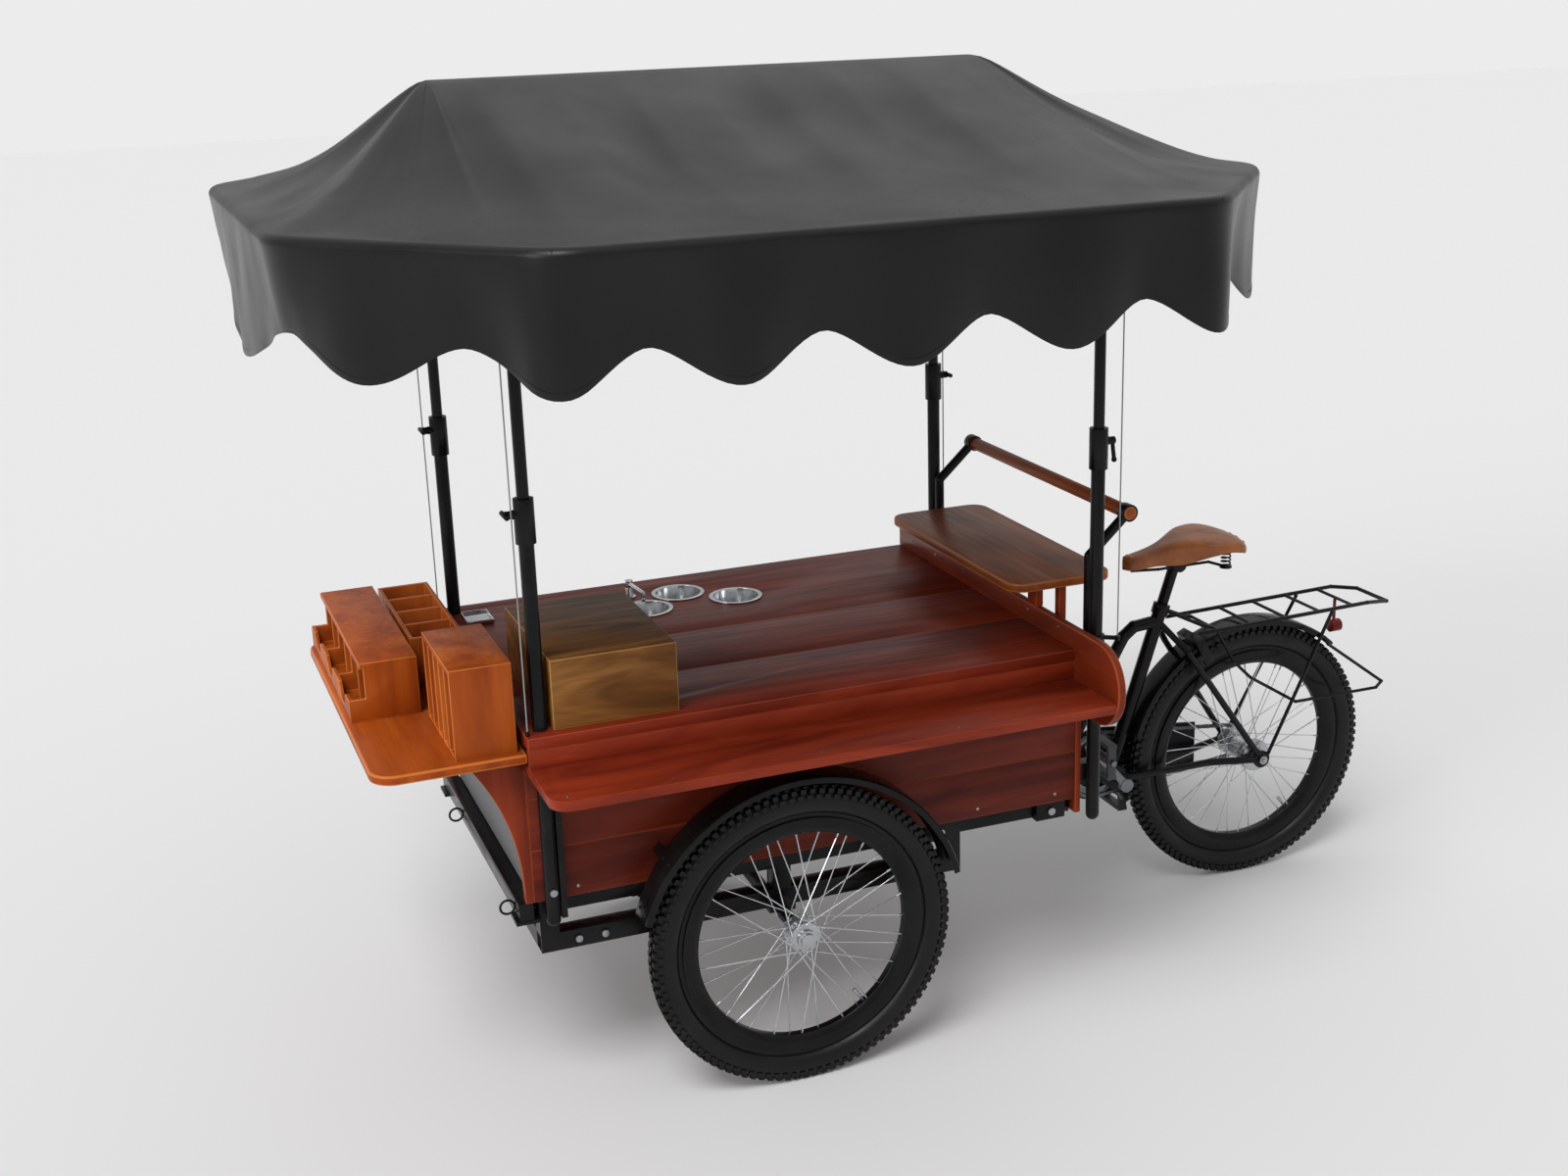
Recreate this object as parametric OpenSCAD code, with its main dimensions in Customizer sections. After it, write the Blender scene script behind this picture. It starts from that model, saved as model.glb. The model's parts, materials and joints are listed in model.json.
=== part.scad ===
// Coffee tricycle: a timber serving counter on two front wheels, steered against a bicycle rear end,
// under a scalloped canopy on telescopic posts. X runs forwards, Y to the rider's left, Z up.
// Every module works in the cart's own frame, whose origin is on the ground under the front axle;
// place() then moves it so that the origin is the centre of the whole tricycle's footprint.

/* [Wheels] */
// Outside diameter of the three tyres
wheel_d = 668; // [640:2:690]
// Width of a tyre
tyre_w = 62; // [52:2:66]
// Height of the tyre above the rim
tyre_h = 67; // [60:1:70]
// Depth of the rim, towards the hub
rim_depth = 36; // [24:2:44]
// Distance from the front axle to the rear axle
wheelbase = 1396; // [1396:2:1460]
// Distance between the middles of the two front tyres
track = 946; // [942:2:990]
// Spokes in each wheel
spoke_count = 36; // [20:4:36]

/* [Cabinet] */
// Front face of the cabinet, ahead of the front axle
cabinet_front = 543; // [520:1:560]
// Rear face of the cabinet, behind the front axle
cabinet_rear = 690; // [670:1:700]
// Width of the cabinet over its side panels
cabinet_w = 784; // [740:2:786]
// Height of the cabinet's underside above the ground
cabinet_z = 480; // [470:1:500]
// Thickness of the cabinet's panels
panel_t = 18; // [12:1:24]

/* [Counter] */
// Height of the counter's top face above the ground
counter_z = 856; // [840:1:900]
// Thickness of the counter
counter_t = 25; // [18:1:30]
// Width of the counter
counter_w = 908; // [900:2:960]
// Drop from the counter to the serving ledge
ledge_drop = 64; // [50:1:80]
// Thickness of the serving ledge
ledge_t = 20; // [14:1:26]
// Reach of the serving ledge from the middle of the tricycle
ledge_reach = 633; // [600:1:660]
// Height of the rear end board above the counter
end_board_h = 46; // [36:1:60]
// Radius of the end board's round nose
end_board_r = 90; // [80:1:96]

/* [Shelves] */
// Reach of the front shelf ahead of the front axle
front_shelf_reach = 845; // [840:1:880]
// Width of the front shelf
front_shelf_w = 886; // [880:2:920]
// Drop from the counter to the front shelf
front_shelf_drop = 34; // [26:1:40]
// Thickness of the front and rear shelves
shelf_t = 20; // [14:1:26]
// Height of the rear shelf's top above the counter
rear_shelf_h = 119; // [100:1:140]
// Width of the rear shelf
rear_shelf_w = 660; // [560:10:680]
// Length of the rear shelf
rear_shelf_l = 250; // [220:2:260]

/* [Posts and canopy] */
// Outside diameter of a lower post
lower_post_d = 30; // [28:1:34]
// Outside diameter of an upper post
upper_post_d = 24; // [20:1:24]
// Front posts, ahead of the front axle
post_front = 509; // [500:1:512]
// Rear posts, behind the front axle
post_rear = 726; // [724:1:745]
// Height of the lower posts' tops
lower_post_top = 1315; // [1260:5:1340]
// Height of the canopy's eaves
eave_z = 1857; // [1800:1:1950]
// Rise of the ridge above the eaves
ridge_rise = 217; // [160:1:260]
// Length of the canopy
canopy_l = 1968; // [1900:4:2060]
// Width of the canopy
canopy_w = 1964; // [1900:4:2040]
// Length of the canopy's straight side edges
canopy_side = 1210; // [1100:10:1300]
// Length of the canopy's straight end edges
canopy_end = 1046; // [960:10:1140]
// Length of the ridge
ridge_l = 1174; // [1100:2:1300]
// Drop of the valance at the low points of its scallops
valance_max = 238; // [200:2:270]
// Drop of the valance at the high points of its scallops
valance_min = 168; // [120:2:180]
// Drop of the valance in the middle of its wide end scallops
valance_end = 280; // [240:5:300]

/* [Push bar] */
// Height of the wooden bar
bar_z = 1120; // [1090:5:1160]
// Length of the wooden bar
bar_l = 776; // [770:2:800]
// Diameter of the wooden bar
bar_d = 30; // [26:1:34]

/* [Rear frame] */
// Steering pivot, behind the front axle
pivot_x = 770; // [765:1:785]
// Distance from the bottom bracket to the rear axle
crank_back = 390; // [388:1:396]
// Lean of the seat tube from upright, in degrees
seat_lean = 18.4; // [17:0.2:18.4]
// Length of a crank
crank_l = 150; // [140:1:155]
// Angle of the left crank above level, forwards, in degrees
crank_angle = 49; // [0:1:90]

/* [Hidden] */
$fn = 48;

// General clearances
seat_gap = 0.3;
run_gap = 0.05;

// Wheel geometry
wheel_r = wheel_d / 2;
axle_z = wheel_r;
rim_r = wheel_r - tyre_h;
rim_in = rim_r - rim_depth;
half_track = track / 2;
flange_r = 34;
flange_dy = 20;
flange_t = 3;
spoke_r = 1.3;
front_spindle_r = 8;
rear_axle_r = 6;
front_guard_r = wheel_r + 27;
rear_guard_r = wheel_r + 14;
guard_t = 3;
guard_w = tyre_w + 12;
guard_share = 0.12;

// Cabinet geometry
cab_half = cabinet_w / 2;
in_half = cab_half - panel_t;
front_guard_w = tyre_w + 2 * guard_share * (half_track - tyre_w / 2 - cab_half);
counter_low = counter_z - counter_t;
counter_half = counter_w / 2;
counter_front = cabinet_front + 2;
end_t = 18;
end_x = -(cabinet_rear - 41);
ledge_z = counter_z - ledge_drop;
shelf_z = counter_z - front_shelf_drop;
rear_shelf_z = counter_z + rear_shelf_h;
rail_z = cabinet_z - 40;
low_rail_z = axle_z + 16;
tube_s = 40;
rail_y = 345;

// Posts
lp_r = lower_post_d / 2;
up_r = upper_post_d / 2;
post_y = cab_half + seat_gap + lp_r;
post_low = cabinet_z - 35;
post_xs = [post_front, -post_rear];
collar_h = 80;
collar_r = lp_r + 5;
clamp_z = lower_post_top - 22;
upper_low = post_low + 410;

// Canopy
canopy_x = (post_front - post_rear) / 2 + 68.5;
ca = canopy_l / 2;
cb = canopy_w / 2;
ce = canopy_end / 2;
cs = canopy_side / 2;
cloth_t = 2;
tube_r = 9;
cross_r = 7.5;
frame_inset = 24;
frame_z = eave_z - cloth_t - seat_gap - tube_r;
ridge_z = eave_z + ridge_rise;
cord_y = post_y + 27;
cord_dx = 31;
cord_low = counter_z + 10;
cord_r = 1.5;

// Push bar
bar_x = -(post_rear + 93);
arm_y = post_y - lp_r - 6 - 11;
arm_r = 11;

// Rear frame
crank_z = axle_z + 1;
rear_x = -wheelbase;
crank_x = wheelbase - crank_back;
stay_y = 82;
chain_y = -60;
chain_pitch = 12.7;
ring_r = 40 * chain_pitch / (2 * PI);
cog_r = 18 * chain_pitch / (2 * PI);
post_r = 13.6;
seat_dir = [-sin(seat_lean), 0, cos(seat_lean)];
crank_at = [-crank_x, 0, crank_z];
seat_tube_l = 445;
seat_top = crank_at + seat_tube_l * seat_dir;
seat_collar_r = 21;
stay_r = 8;
stay_bend = [-crank_x - 184, 54, crank_z + 306];
saddle_at = crank_at + 549 * seat_dir;
rack_z = wheel_d + 24;
tail_end = wheelbase + 375;
wire_r = 4;

// Placement of the whole tricycle, centred on its length
x_shift = (tail_end - (canopy_x + ca)) / 2;

echo(str("overall length ", canopy_x + ca + tail_end, ", width ", canopy_w, ", height ", ridge_z));

module place() {
    translate([x_shift, 0, 0]) children();
}

// A box between two corners
module block(a, b) {
    translate(a) cube(b - a);
}

// A round bar between two points
module rod(a, b, r) {
    d = b - a;
    l = norm(d);
    translate(a) rotate([0, acos(d[2] / l), atan2(d[1], d[0])]) cylinder(h = l, r = r);
}

function unit(v) = v / norm(v);

// A bent round bar through a list of points, with a bead at each bend that stands out by bead
module bent_rod(points, r, bead = 0) {
    for (i = [0 : len(points) - 2]) rod(points[i], points[i + 1], r);
    for (i = [1 : len(points) - 2]) translate(points[i]) sphere(r = r + bead);
}

// The same shape on the left and the right side
module both_sides() {
    for (side = [0, 1]) mirror([0, side, 0]) children();
}

// A ring or disc around a wheel's axis
module round_y(y0, y1, r) {
    translate([0, y0, 0]) rotate([-90, 0, 0]) cylinder(h = y1 - y0, r = r);
}

// A rectangle with rounded corners
module round_rect(x0, x1, y0, y1, r) {
    union() {
        translate([x0 + r, y0]) square([x1 - x0 - 2 * r, y1 - y0]);
        translate([x0, y0 + r]) square([x1 - x0, y1 - y0 - 2 * r]);
        for (x = [x0 + r, x1 - r], y = [y0 + r, y1 - r]) translate([x, y]) circle(r = r);
    }
}

// A closed solid through rings of points, each ring with the same number of points
module loft(rings) {
    n = len(rings[0]);
    m = len(rings);
    points = [for (ring = rings, p = ring) p];
    sides = [for (k = [0 : m - 2], i = [0 : n - 1])
        [k * n + i, k * n + (i + 1) % n, (k + 1) * n + (i + 1) % n, (k + 1) * n + i]];
    first = [[for (i = [n - 1 : -1 : 0]) i]];
    last = [[for (i = [0 : n - 1]) (m - 1) * n + i]];
    polyhedron(points = points, faces = concat(first, sides, last), convexity = 6);
}

// A square tube along X, open at its ends
module tube_x(x0, x1, y, z) {
    w = 3;
    difference() {
        block([x0, y - tube_s / 2, z], [x1, y + tube_s / 2, z + tube_s]);
        block([x0 - 1, y - tube_s / 2 + w, z + w], [x1 + 1, y + tube_s / 2 - w, z + tube_s - w]);
    }
}

// A square tube along Y, open at its ends
module tube_y(x, y0, y1, z, s = tube_s) {
    w = 3;
    difference() {
        block([x - s / 2, y0, z], [x + s / 2, y1, z + tube_s]);
        block([x - s / 2 + w, y0 - 1, z + w], [x + s / 2 - w, y1 + 1, z + tube_s - w]);
    }
}

// Front cross rail, with two wire rings and a stop under it
module front_rail() {
    x = cabinet_front + seat_gap;
    ring = 15;
    wire = 2.5;
    at = x + 30 + ring + 1;
    block([cabinet_front - 16, -cab_half + 60, rail_z], [x + 1, cab_half - 60, rail_z + 38]);
    block([x, -cab_half + 7, rail_z], [x + 30, cab_half - 7, rail_z + 38]);
    for (y = [-157, cab_half - 45]) translate([at, y, rail_z + 20]) rotate([90, 0, 0])
        rotate_extrude() translate([ring, 0]) circle(r = wire, $fn = 20);
    translate([x + 14, 0, rail_z - 18]) cylinder(h = 19, r = 9);
}

// Welded square-tube chassis with the front rail and the two steering lugs at its rear
module chassis_frame() {
    inner = rail_y - tube_s / 2;
    rail_front = cabinet_front - 14;
    cross_rear = cabinet_rear - 58;
    lug_z = crank_z + 7;
    low_rear = 420;
    color("#1c1d1f") place() {
        difference() {
            union() {
                both_sides() {
                    tube_x(-cabinet_rear, rail_front, rail_y, rail_z);
                    tube_x(-low_rear, rail_front, rail_y, low_rail_z);
                    for (x = [rail_front - 40, -20, 20 - low_rear - 20])
                        block([x, inner, low_rail_z + tube_s], [x + 40, rail_y + 20, rail_z]);
                    for (x = [-361, -cross_rear])
                        block([x - 35, rail_y + 20, rail_z], [x + 35, cab_half - 4, rail_z + tube_s]);
                }
                for (x = [rail_front - 20, 0, -361, -cross_rear]) tube_y(x, -inner, inner, rail_z);
                tube_y(rail_front - 20, -inner, inner, low_rail_z);
                front_rail();
                block([-cabinet_rear, -60, lug_z - 12], [-cabinet_rear + 20, 60, rail_z + tube_s]);
                block([-cabinet_rear, -60, rail_z], [-cross_rear - 20, 60, rail_z + tube_s]);
                for (z = [lug_z - 12, lug_z + 110]) {
                    block([-pivot_x, -34, z], [-cabinet_rear, 34, z + 12]);
                    translate([-pivot_x, 0, z]) cylinder(h = 12, r = 34);
                }
            }
            translate([-pivot_x, 0, lug_z - 20]) cylinder(h = 160, r = 10 + run_gap);
        }
    }
}

// Front axle beam with its two wheel spindles and the pads that hold it under the chassis
module front_axle() {
    tip = half_track + 26;
    color("#232427") place() {
        translate([0, 0, axle_z]) {
            round_y(-half_track + 44, half_track - 44, 15);
            round_y(-tip, tip, front_spindle_r);
        }
        both_sides() block([-30, rail_y - 18, axle_z], [30, rail_y + 18, low_rail_z - seat_gap]);
    }
}

// Cabinet floor board
module cabinet_floor() {
    color("#6b2a1c") place()
        block([-cabinet_rear + panel_t + seat_gap, -in_half + seat_gap, cabinet_z],
              [cabinet_front - panel_t - seat_gap, in_half - seat_gap, cabinet_z + 15]);
}

// Planked side panels of the cabinet
module side_panel(side) {
    color("#7a2e1d") place() mirror([0, side, 0])
        block([-cabinet_rear, in_half, cabinet_z + seat_gap],
              [cabinet_front, cab_half, counter_low - seat_gap]);
}

// Grey front panel
module front_panel() {
    color("#77787a") place()
        block([cabinet_front - panel_t, -in_half + seat_gap, cabinet_z + seat_gap],
              [cabinet_front, in_half - seat_gap, counter_low - seat_gap]);
}

// Rear panel
module rear_panel() {
    color("#6b2a1c") place()
        block([-cabinet_rear, -in_half + seat_gap, cabinet_z + seat_gap],
              [-cabinet_rear + panel_t, in_half - seat_gap, counter_low - seat_gap]);
}

// Tapered brackets under the front shelf, rear corner boards and the rear shelf's supports
module cabinet_trim() {
    bracket_top = shelf_z - shelf_t - seat_gap;
    steps = 12;
    rise = bracket_top - cabinet_z - seat_gap;
    curve = [for (i = [0 : steps])
        [cabinet_front + 17 + 100 * pow(i / steps, 2.4), cabinet_z + seat_gap + rise * i / steps]];
    back = cabinet_front + seat_gap;
    outline = concat([[back, cabinet_z + seat_gap]], curve, [[back, bracket_top]]);
    shelf_low = rear_shelf_z - shelf_t - seat_gap;
    color("#843420") place() both_sides() {
        translate([0, cab_half, 0]) rotate([90, 0, 0]) linear_extrude(height = panel_t) polygon(outline);
        block([-cabinet_rear - 14, cab_half - 42, cabinet_z - 35],
              [-cabinet_rear - seat_gap, cab_half, counter_low - seat_gap]);
        block([-cabinet_rear - 18, 290, counter_low - 130], [-cabinet_rear - seat_gap, 310, shelf_low]);
        block([end_x - end_t, 240, counter_z + end_board_h + seat_gap], [end_x, 280, shelf_low]);
    }
}

// Round bowls set into the counter: centre of each, and the radius of its hole
bowl_at = [[-10, -317], [-126, -233], [95, -232]];
bowl_hole_r = 56;

// Counter board, with holes for the bowls and the front posts
module counter_top() {
    color("#7d2c1c") place() difference() {
        block([-cabinet_rear, -counter_half, counter_low], [counter_front, counter_half, counter_z]);
        for (c = bowl_at) translate([c[0], c[1], counter_low - 1])
            cylinder(h = counter_t + 2, r = bowl_hole_r);
        both_sides() translate([post_front, post_y, counter_low - 1])
            cylinder(h = counter_t + 2, r = lp_r + seat_gap);
    }
}

// Serving ledge on the left side, and the riser between it and the counter
module ledge_boards() {
    corner = 40;
    front = counter_front;
    back = end_x + seat_gap;
    y0 = cab_half + seat_gap;
    riser_t = 18;
    color("#843420") place() {
        difference() {
            translate([0, 0, ledge_z - ledge_t]) linear_extrude(height = ledge_t) union() {
                translate([back, y0]) square([front - back, ledge_reach - corner - y0]);
                translate([back, y0]) square([front - corner - back, ledge_reach - y0]);
                translate([front - corner, ledge_reach - corner]) circle(r = corner);
            }
            translate([post_front, post_y, ledge_z - ledge_t - 1])
                cylinder(h = ledge_t + 2, r = lp_r + seat_gap);
        }
        block([back, counter_half - riser_t, ledge_z + seat_gap],
              [front, counter_half, counter_low - seat_gap]);
    }
}

// Upright board across the rear of the counter, with a round nose beyond the ledge
module end_board() {
    top = counter_z + end_board_h;
    nose_y = ledge_reach + 8 - end_board_r;
    low = top - 2 * end_board_r;
    color("#8a3721") place() translate([end_x - end_t, 0, 0]) rotate([90, 0, 90])
        linear_extrude(height = end_t) difference() {
            union() {
                translate([-counter_half, low]) square([nose_y + counter_half, 2 * end_board_r]);
                translate([nose_y, low + end_board_r]) circle(r = end_board_r);
            }
            translate([-counter_half - 1, low - 1])
                square([counter_half + 1 + cab_half + seat_gap, counter_z + seat_gap - low + 1]);
            translate([0, counter_low - seat_gap])
                square([counter_half + seat_gap, counter_t + 2 * seat_gap]);
        }
}

// Raised shelf over the rear of the counter
module rear_shelf() {
    x1 = end_x + 82;
    half = rear_shelf_w / 2;
    color("#5f3620") place() translate([0, 0, rear_shelf_z - shelf_t]) linear_extrude(height = shelf_t)
        round_rect(x1 - rear_shelf_l, x1, -half, half, 40);
}

// Lower shelf ahead of the cabinet
module front_shelf() {
    half = front_shelf_w / 2;
    back = counter_front + seat_gap;
    color("#a6511f") place() translate([0, 0, shelf_z - shelf_t]) linear_extrude(height = shelf_t) union() {
        translate([back, -half]) square([60, 2 * half]);
        round_rect(back, front_shelf_reach, -half, half, 50);
    }
}

// Long organizer: pigeonholes under a flat top, with a low notched tray in front
module tray_organizer() {
    x0 = 690;
    x1 = x0 + 110;
    x2 = x0 + 145;
    y0 = -413;
    y1 = 124;
    z0 = shelf_z + seat_gap;
    z1 = shelf_z + 124;
    t = 8;
    cells = 6;
    pitch = (y1 - y0 - t) / cells;
    notch_r = 46;
    color("#b5541f") place() difference() {
        union() {
            block([x0, y0, z0], [x2, y1, z0 + t]);
            block([x0, y0, z0], [x0 + t, y1, z1]);
            block([x0, y0, z1 - 12], [x1 + 8, y1, z1]);
            for (i = [0 : cells]) block([x0, y0 + i * pitch, z0], [x1, y0 + i * pitch + t, z1]);
            for (i = [0, 2, 4, 6]) block([x1 - 1, y0 + i * pitch, z0], [x2, y0 + i * pitch + t, z0 + 48]);
            block([x2 - t, y0, z0], [x2, y1, z0 + 48]);
        }
        for (i = [1, 3, 5]) translate([x2 - t - 1, y0 + i * pitch + t / 2, z0 + 62])
            rotate([0, 90, 0]) cylinder(h = t + 2, r = notch_r);
    }
}

// Open bins behind the tray organizer
module bin_organizer() {
    x0 = 560;
    x1 = 675;
    y0 = -440;
    y1 = -40;
    z0 = shelf_z + seat_gap;
    z1 = shelf_z + 108;
    t = 8;
    bins = 4;
    pitch = (y1 - y0 - t) / bins;
    color("#a94d1c") place() difference() {
        block([x0, y0, z0], [x1, y1, z1]);
        for (i = [0 : bins - 1])
            block([x0 + t, y0 + i * pitch + t, z0 + t], [x1 - t, y0 + (i + 1) * pitch, z1 + 1]);
    }
}

// Tall organizer with upright slots, open to the front
module divider_organizer() {
    x0 = 560;
    x1 = 682;
    y0 = 160;
    y1 = 425;
    z0 = shelf_z + seat_gap;
    z1 = shelf_z + 186;
    t = 8;
    slots = 5;
    pitch = (y1 - y0 - 10) / slots;
    color("#c05e24") place() difference() {
        block([x0, y0, z0], [x1, y1, z1]);
        for (i = [0 : slots - 1])
            block([x0 + t, y0 + 10 + i * pitch, z0 + t], [x1 + 1, y0 + (i + 1) * pitch, z1 - 12]);
    }
}

// Plain wooden box standing on the counter, open underneath
module wooden_box() {
    t = 12;
    x0 = 228;
    x1 = post_front - lp_r - 8;
    y0 = 50;
    y1 = 428;
    z0 = counter_z + seat_gap;
    z1 = counter_z + 144;
    color("#6a4c2c") place() difference() {
        block([x0, y0, z0], [x1, y1, z1]);
        block([x0 + t, y0 + t, z0 - 1], [x1 - t, y1 - t, z1 - t]);
    }
}

// Folding tap: where its base stands, and the height of its swivel
tap_at = [104, -335];
tap_z = counter_z + 26;
tap_pin_r = 6;

// Steel bowls, the small steel tray and the tap's base
module counter_inserts() {
    depth = 58;
    r = bowl_hole_r - 1;
    wall = 1.5;
    lip = counter_z + seat_gap;
    color("#c9ccd0") place() {
        for (c = bowl_at) translate([c[0], c[1], 0]) rotate_extrude() polygon([
            [0, lip - depth], [r - 10, lip - depth], [r, lip - depth + 14], [r, lip], [r + 8, lip],
            [r + 8, lip + 2], [r - wall, lip + 2], [r - wall, lip - depth + 15],
            [r - 11, lip - depth + wall], [12, lip - depth + wall], [12, lip - depth + 6],
            [0, lip - depth + 6]]);
        difference() {
            block([440, -372, counter_z + seat_gap], [502, -290, counter_z + 10]);
            block([443, -369, counter_z + 3], [499, -293, counter_z + 11]);
        }
        translate([tap_at[0], tap_at[1], counter_z + seat_gap]) {
            cylinder(h = 4, r = 15);
            cylinder(h = tap_z - counter_z - seat_gap, r = 9);
            cylinder(h = tap_z - counter_z + 12, r = tap_pin_r);
        }
    }
}

// Swivelling tap spout, pointing at the nearest bowl
module tap_spout() {
    reach = 88;
    color("#d5d8dc") place() translate([tap_at[0], tap_at[1], tap_z + seat_gap]) rotate([0, 0, 95])
        difference() {
            union() {
                cylinder(h = 16, r = 9.5);
                translate([0, 0, 8]) rotate([0, 90, 0]) cylinder(h = reach, r = 5);
                translate([reach, 0, -12]) cylinder(h = 22, r = 5);
            }
            translate([0, 0, -1]) cylinder(h = 14, r = tap_pin_r + run_gap);
        }
}

// Lower post tubes, each with a closed foot and a hole for its clamp screw
module lower_posts() {
    color("#17181a") place() both_sides() for (i = [0, 1]) translate([post_xs[i], post_y, 0]) difference() {
        union() {
            translate([0, 0, post_low]) cylinder(h = lower_post_top - post_low, r = lp_r);
            translate([0, 0, post_low]) intersection() {
                sphere(r = lp_r);
                block([-lp_r, -lp_r, -lp_r], [lp_r, lp_r, 0]);
            }
        }
        translate([0, 0, post_low + 5]) cylinder(h = lower_post_top, r = up_r + run_gap);
        translate([0, 0, clamp_z]) rotate([0, i == 0 ? 90 : -90, 0]) cylinder(h = 40, r = 4 + seat_gap);
    }
}

// Collars at the tops of the lower posts
module post_collars() {
    color("#101113") place() both_sides() for (i = [0, 1]) translate([post_xs[i], post_y, 0]) difference() {
        union() {
            translate([0, 0, lower_post_top - collar_h]) cylinder(h = collar_h + 8, r = collar_r);
            translate([0, 0, clamp_z]) rotate([0, i == 0 ? 90 : -90, 0]) cylinder(h = collar_r + 5, r = 9);
        }
        translate([0, 0, lower_post_top - collar_h - 1]) cylinder(h = collar_h + 1, r = lp_r + run_gap);
        cylinder(h = 2 * lower_post_top, r = up_r + 0.3);
        translate([0, 0, clamp_z]) rotate([0, i == 0 ? 90 : -90, 0]) cylinder(h = 60, r = 4 + run_gap);
    }
}

// Brackets that tie the posts to the cabinet, and the lower anchors of the guy cords
module post_brackets() {
    x = -post_rear;
    face = -cabinet_rear - 14 - seat_gap;
    inner = post_y - lp_r - seat_gap;
    channel_x = post_front - lp_r - 2;
    color("#141517") place() both_sides() {
        block([channel_x - 12, cab_half + seat_gap, post_low],
              [channel_x, cab_half + 20, ledge_z - ledge_t - seat_gap]);
        for (z = [cabinet_z + 40, counter_low - 90])
            block([x - lp_r, inner - 30, z], [face, inner, z + 40]);
        block([cabinet_front - 14 + seat_gap, cab_half - 60, rail_z - 8], [cabinet_front + 38, cab_half - 6, rail_z - seat_gap]);
        difference() {
            union() {
                translate([x, post_y, cord_low - 20]) cylinder(h = 20, r = collar_r);
                rod([x, post_y, cord_low - 6], [x - cord_dx - 8, cord_y, cord_low - 6], 5);
                translate([x - cord_dx - 8, cord_y, cord_low - 11]) cylinder(h = 10, r = 6);
            }
            translate([x, post_y, cord_low - 60]) cylinder(h = 100, r = lp_r + run_gap);
        }
        translate([post_front + cord_dx, cord_y, counter_z + seat_gap]) cylinder(h = 9, r = 4.5);
    }
}

// Clamp screw with a cross handle; it points away from the post along +X
module clamp_knob() {
    rotate([0, 90, 0]) {
        translate([0, 0, up_r + 0.4]) cylinder(h = 26, r = 4);
        translate([0, 0, collar_r + 5 + seat_gap]) cylinder(h = 12, r = 8);
    }
    translate([collar_r + 18, 0, 0]) rotate([90, 0, 0]) translate([0, 0, -22]) cylinder(h = 44, r = 5);
}

module knob_front_left() {
    color("#0e0f10") place() translate([post_front, post_y, clamp_z]) clamp_knob();
}

module knob_front_right() {
    color("#0e0f10") place() translate([post_front, -post_y, clamp_z]) clamp_knob();
}

module knob_rear_right() {
    color("#0e0f10") place() translate([-post_rear, -post_y, clamp_z]) rotate([0, 0, 180]) clamp_knob();
}

// Clamp screw with a single long lever, drooping rearwards
module lever_rear_left() {
    x = collar_r + 5 + seat_gap;
    color("#0e0f10") place() translate([-post_rear, post_y, clamp_z]) rotate([0, 0, 180]) {
        rotate([0, 90, 0]) {
            translate([0, 0, up_r + 0.4]) cylinder(h = 26, r = 4);
            translate([0, 0, x]) cylinder(h = 12, r = 8);
        }
        rod([x + 7, 0, 0], [x + 16, 6, -44], 4.5);
        translate([x + 16, 6, -44]) sphere(r = 6);
    }
}

// Upper posts, sliding in the lower ones
module upper_posts() {
    color("#1b1c1e") place() both_sides() for (x = post_xs)
        translate([x, post_y, upper_low]) cylinder(h = frame_z - cross_r - seat_gap - upper_low, r = up_r);
}

// Corners of the canopy's eight-sided plan, counted from the front of the left side, inset by d
slant = norm([cb - ce, ca - cs]);
inset_x = (1 - (ca - cs) / slant) * slant / (cb - ce);
inset_y = (1 - (cb - ce) / slant) * slant / (ca - cs);
function eave_corners(d) = let (x1 = cs - inset_x * d, y1 = cb - d, x2 = ca - d, y2 = ce - inset_y * d) [
    [canopy_x + x1, y1], [canopy_x - x1, y1], [canopy_x - x2, y2], [canopy_x - x2, -y2],
    [canopy_x - x1, -y1], [canopy_x + x1, -y1], [canopy_x + x2, -y2], [canopy_x + x2, y2]];

// Tube frame of the canopy: eaves, cross tubes, ridge, king posts and the upper cord anchors
module canopy_frame() {
    c = eave_corners(frame_inset);
    past = 8;
    ridge = ridge_l / 2 - 30;
    top = ridge_z - cloth_t - seat_gap - tube_r;
    color("#202124") place() {
        for (i = [0 : 7]) {
            a = [c[i][0], c[i][1], frame_z];
            b = [c[(i + 1) % 8][0], c[(i + 1) % 8][1], frame_z];
            e = i % 2 == 0 ? past * unit(b - a) : [0, 0, 0];
            rod(a - e, b + e, i % 2 == 0 ? tube_r : tube_r - 1);
        }
        for (i = [0, 1]) {
            x = post_xs[i];
            dx = max(0, abs(x - canopy_x) - (c[0][0] - canopy_x));
            side = c[0][1] - dx * (c[0][1] - c[7][1]) / (c[7][0] - c[0][0]);
            translate([x, 0, frame_z]) round_y(-side, side, cross_r);
            s = i == 0 ? 1 : -1;
            arm = i == 0 ? cord_dx : cord_dx + 8;
            both_sides() rod([x, cord_y, frame_z], [x + s * (arm + 6), cord_y, frame_z], 4);
            rod([x, 0, frame_z], [canopy_x + s * ridge, 0, top], cross_r);
        }
        translate([canopy_x - ridge - 10, 0, top]) rotate([0, 90, 0]) cylinder(h = 2 * ridge + 20, r = tube_r);
    }
}

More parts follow.
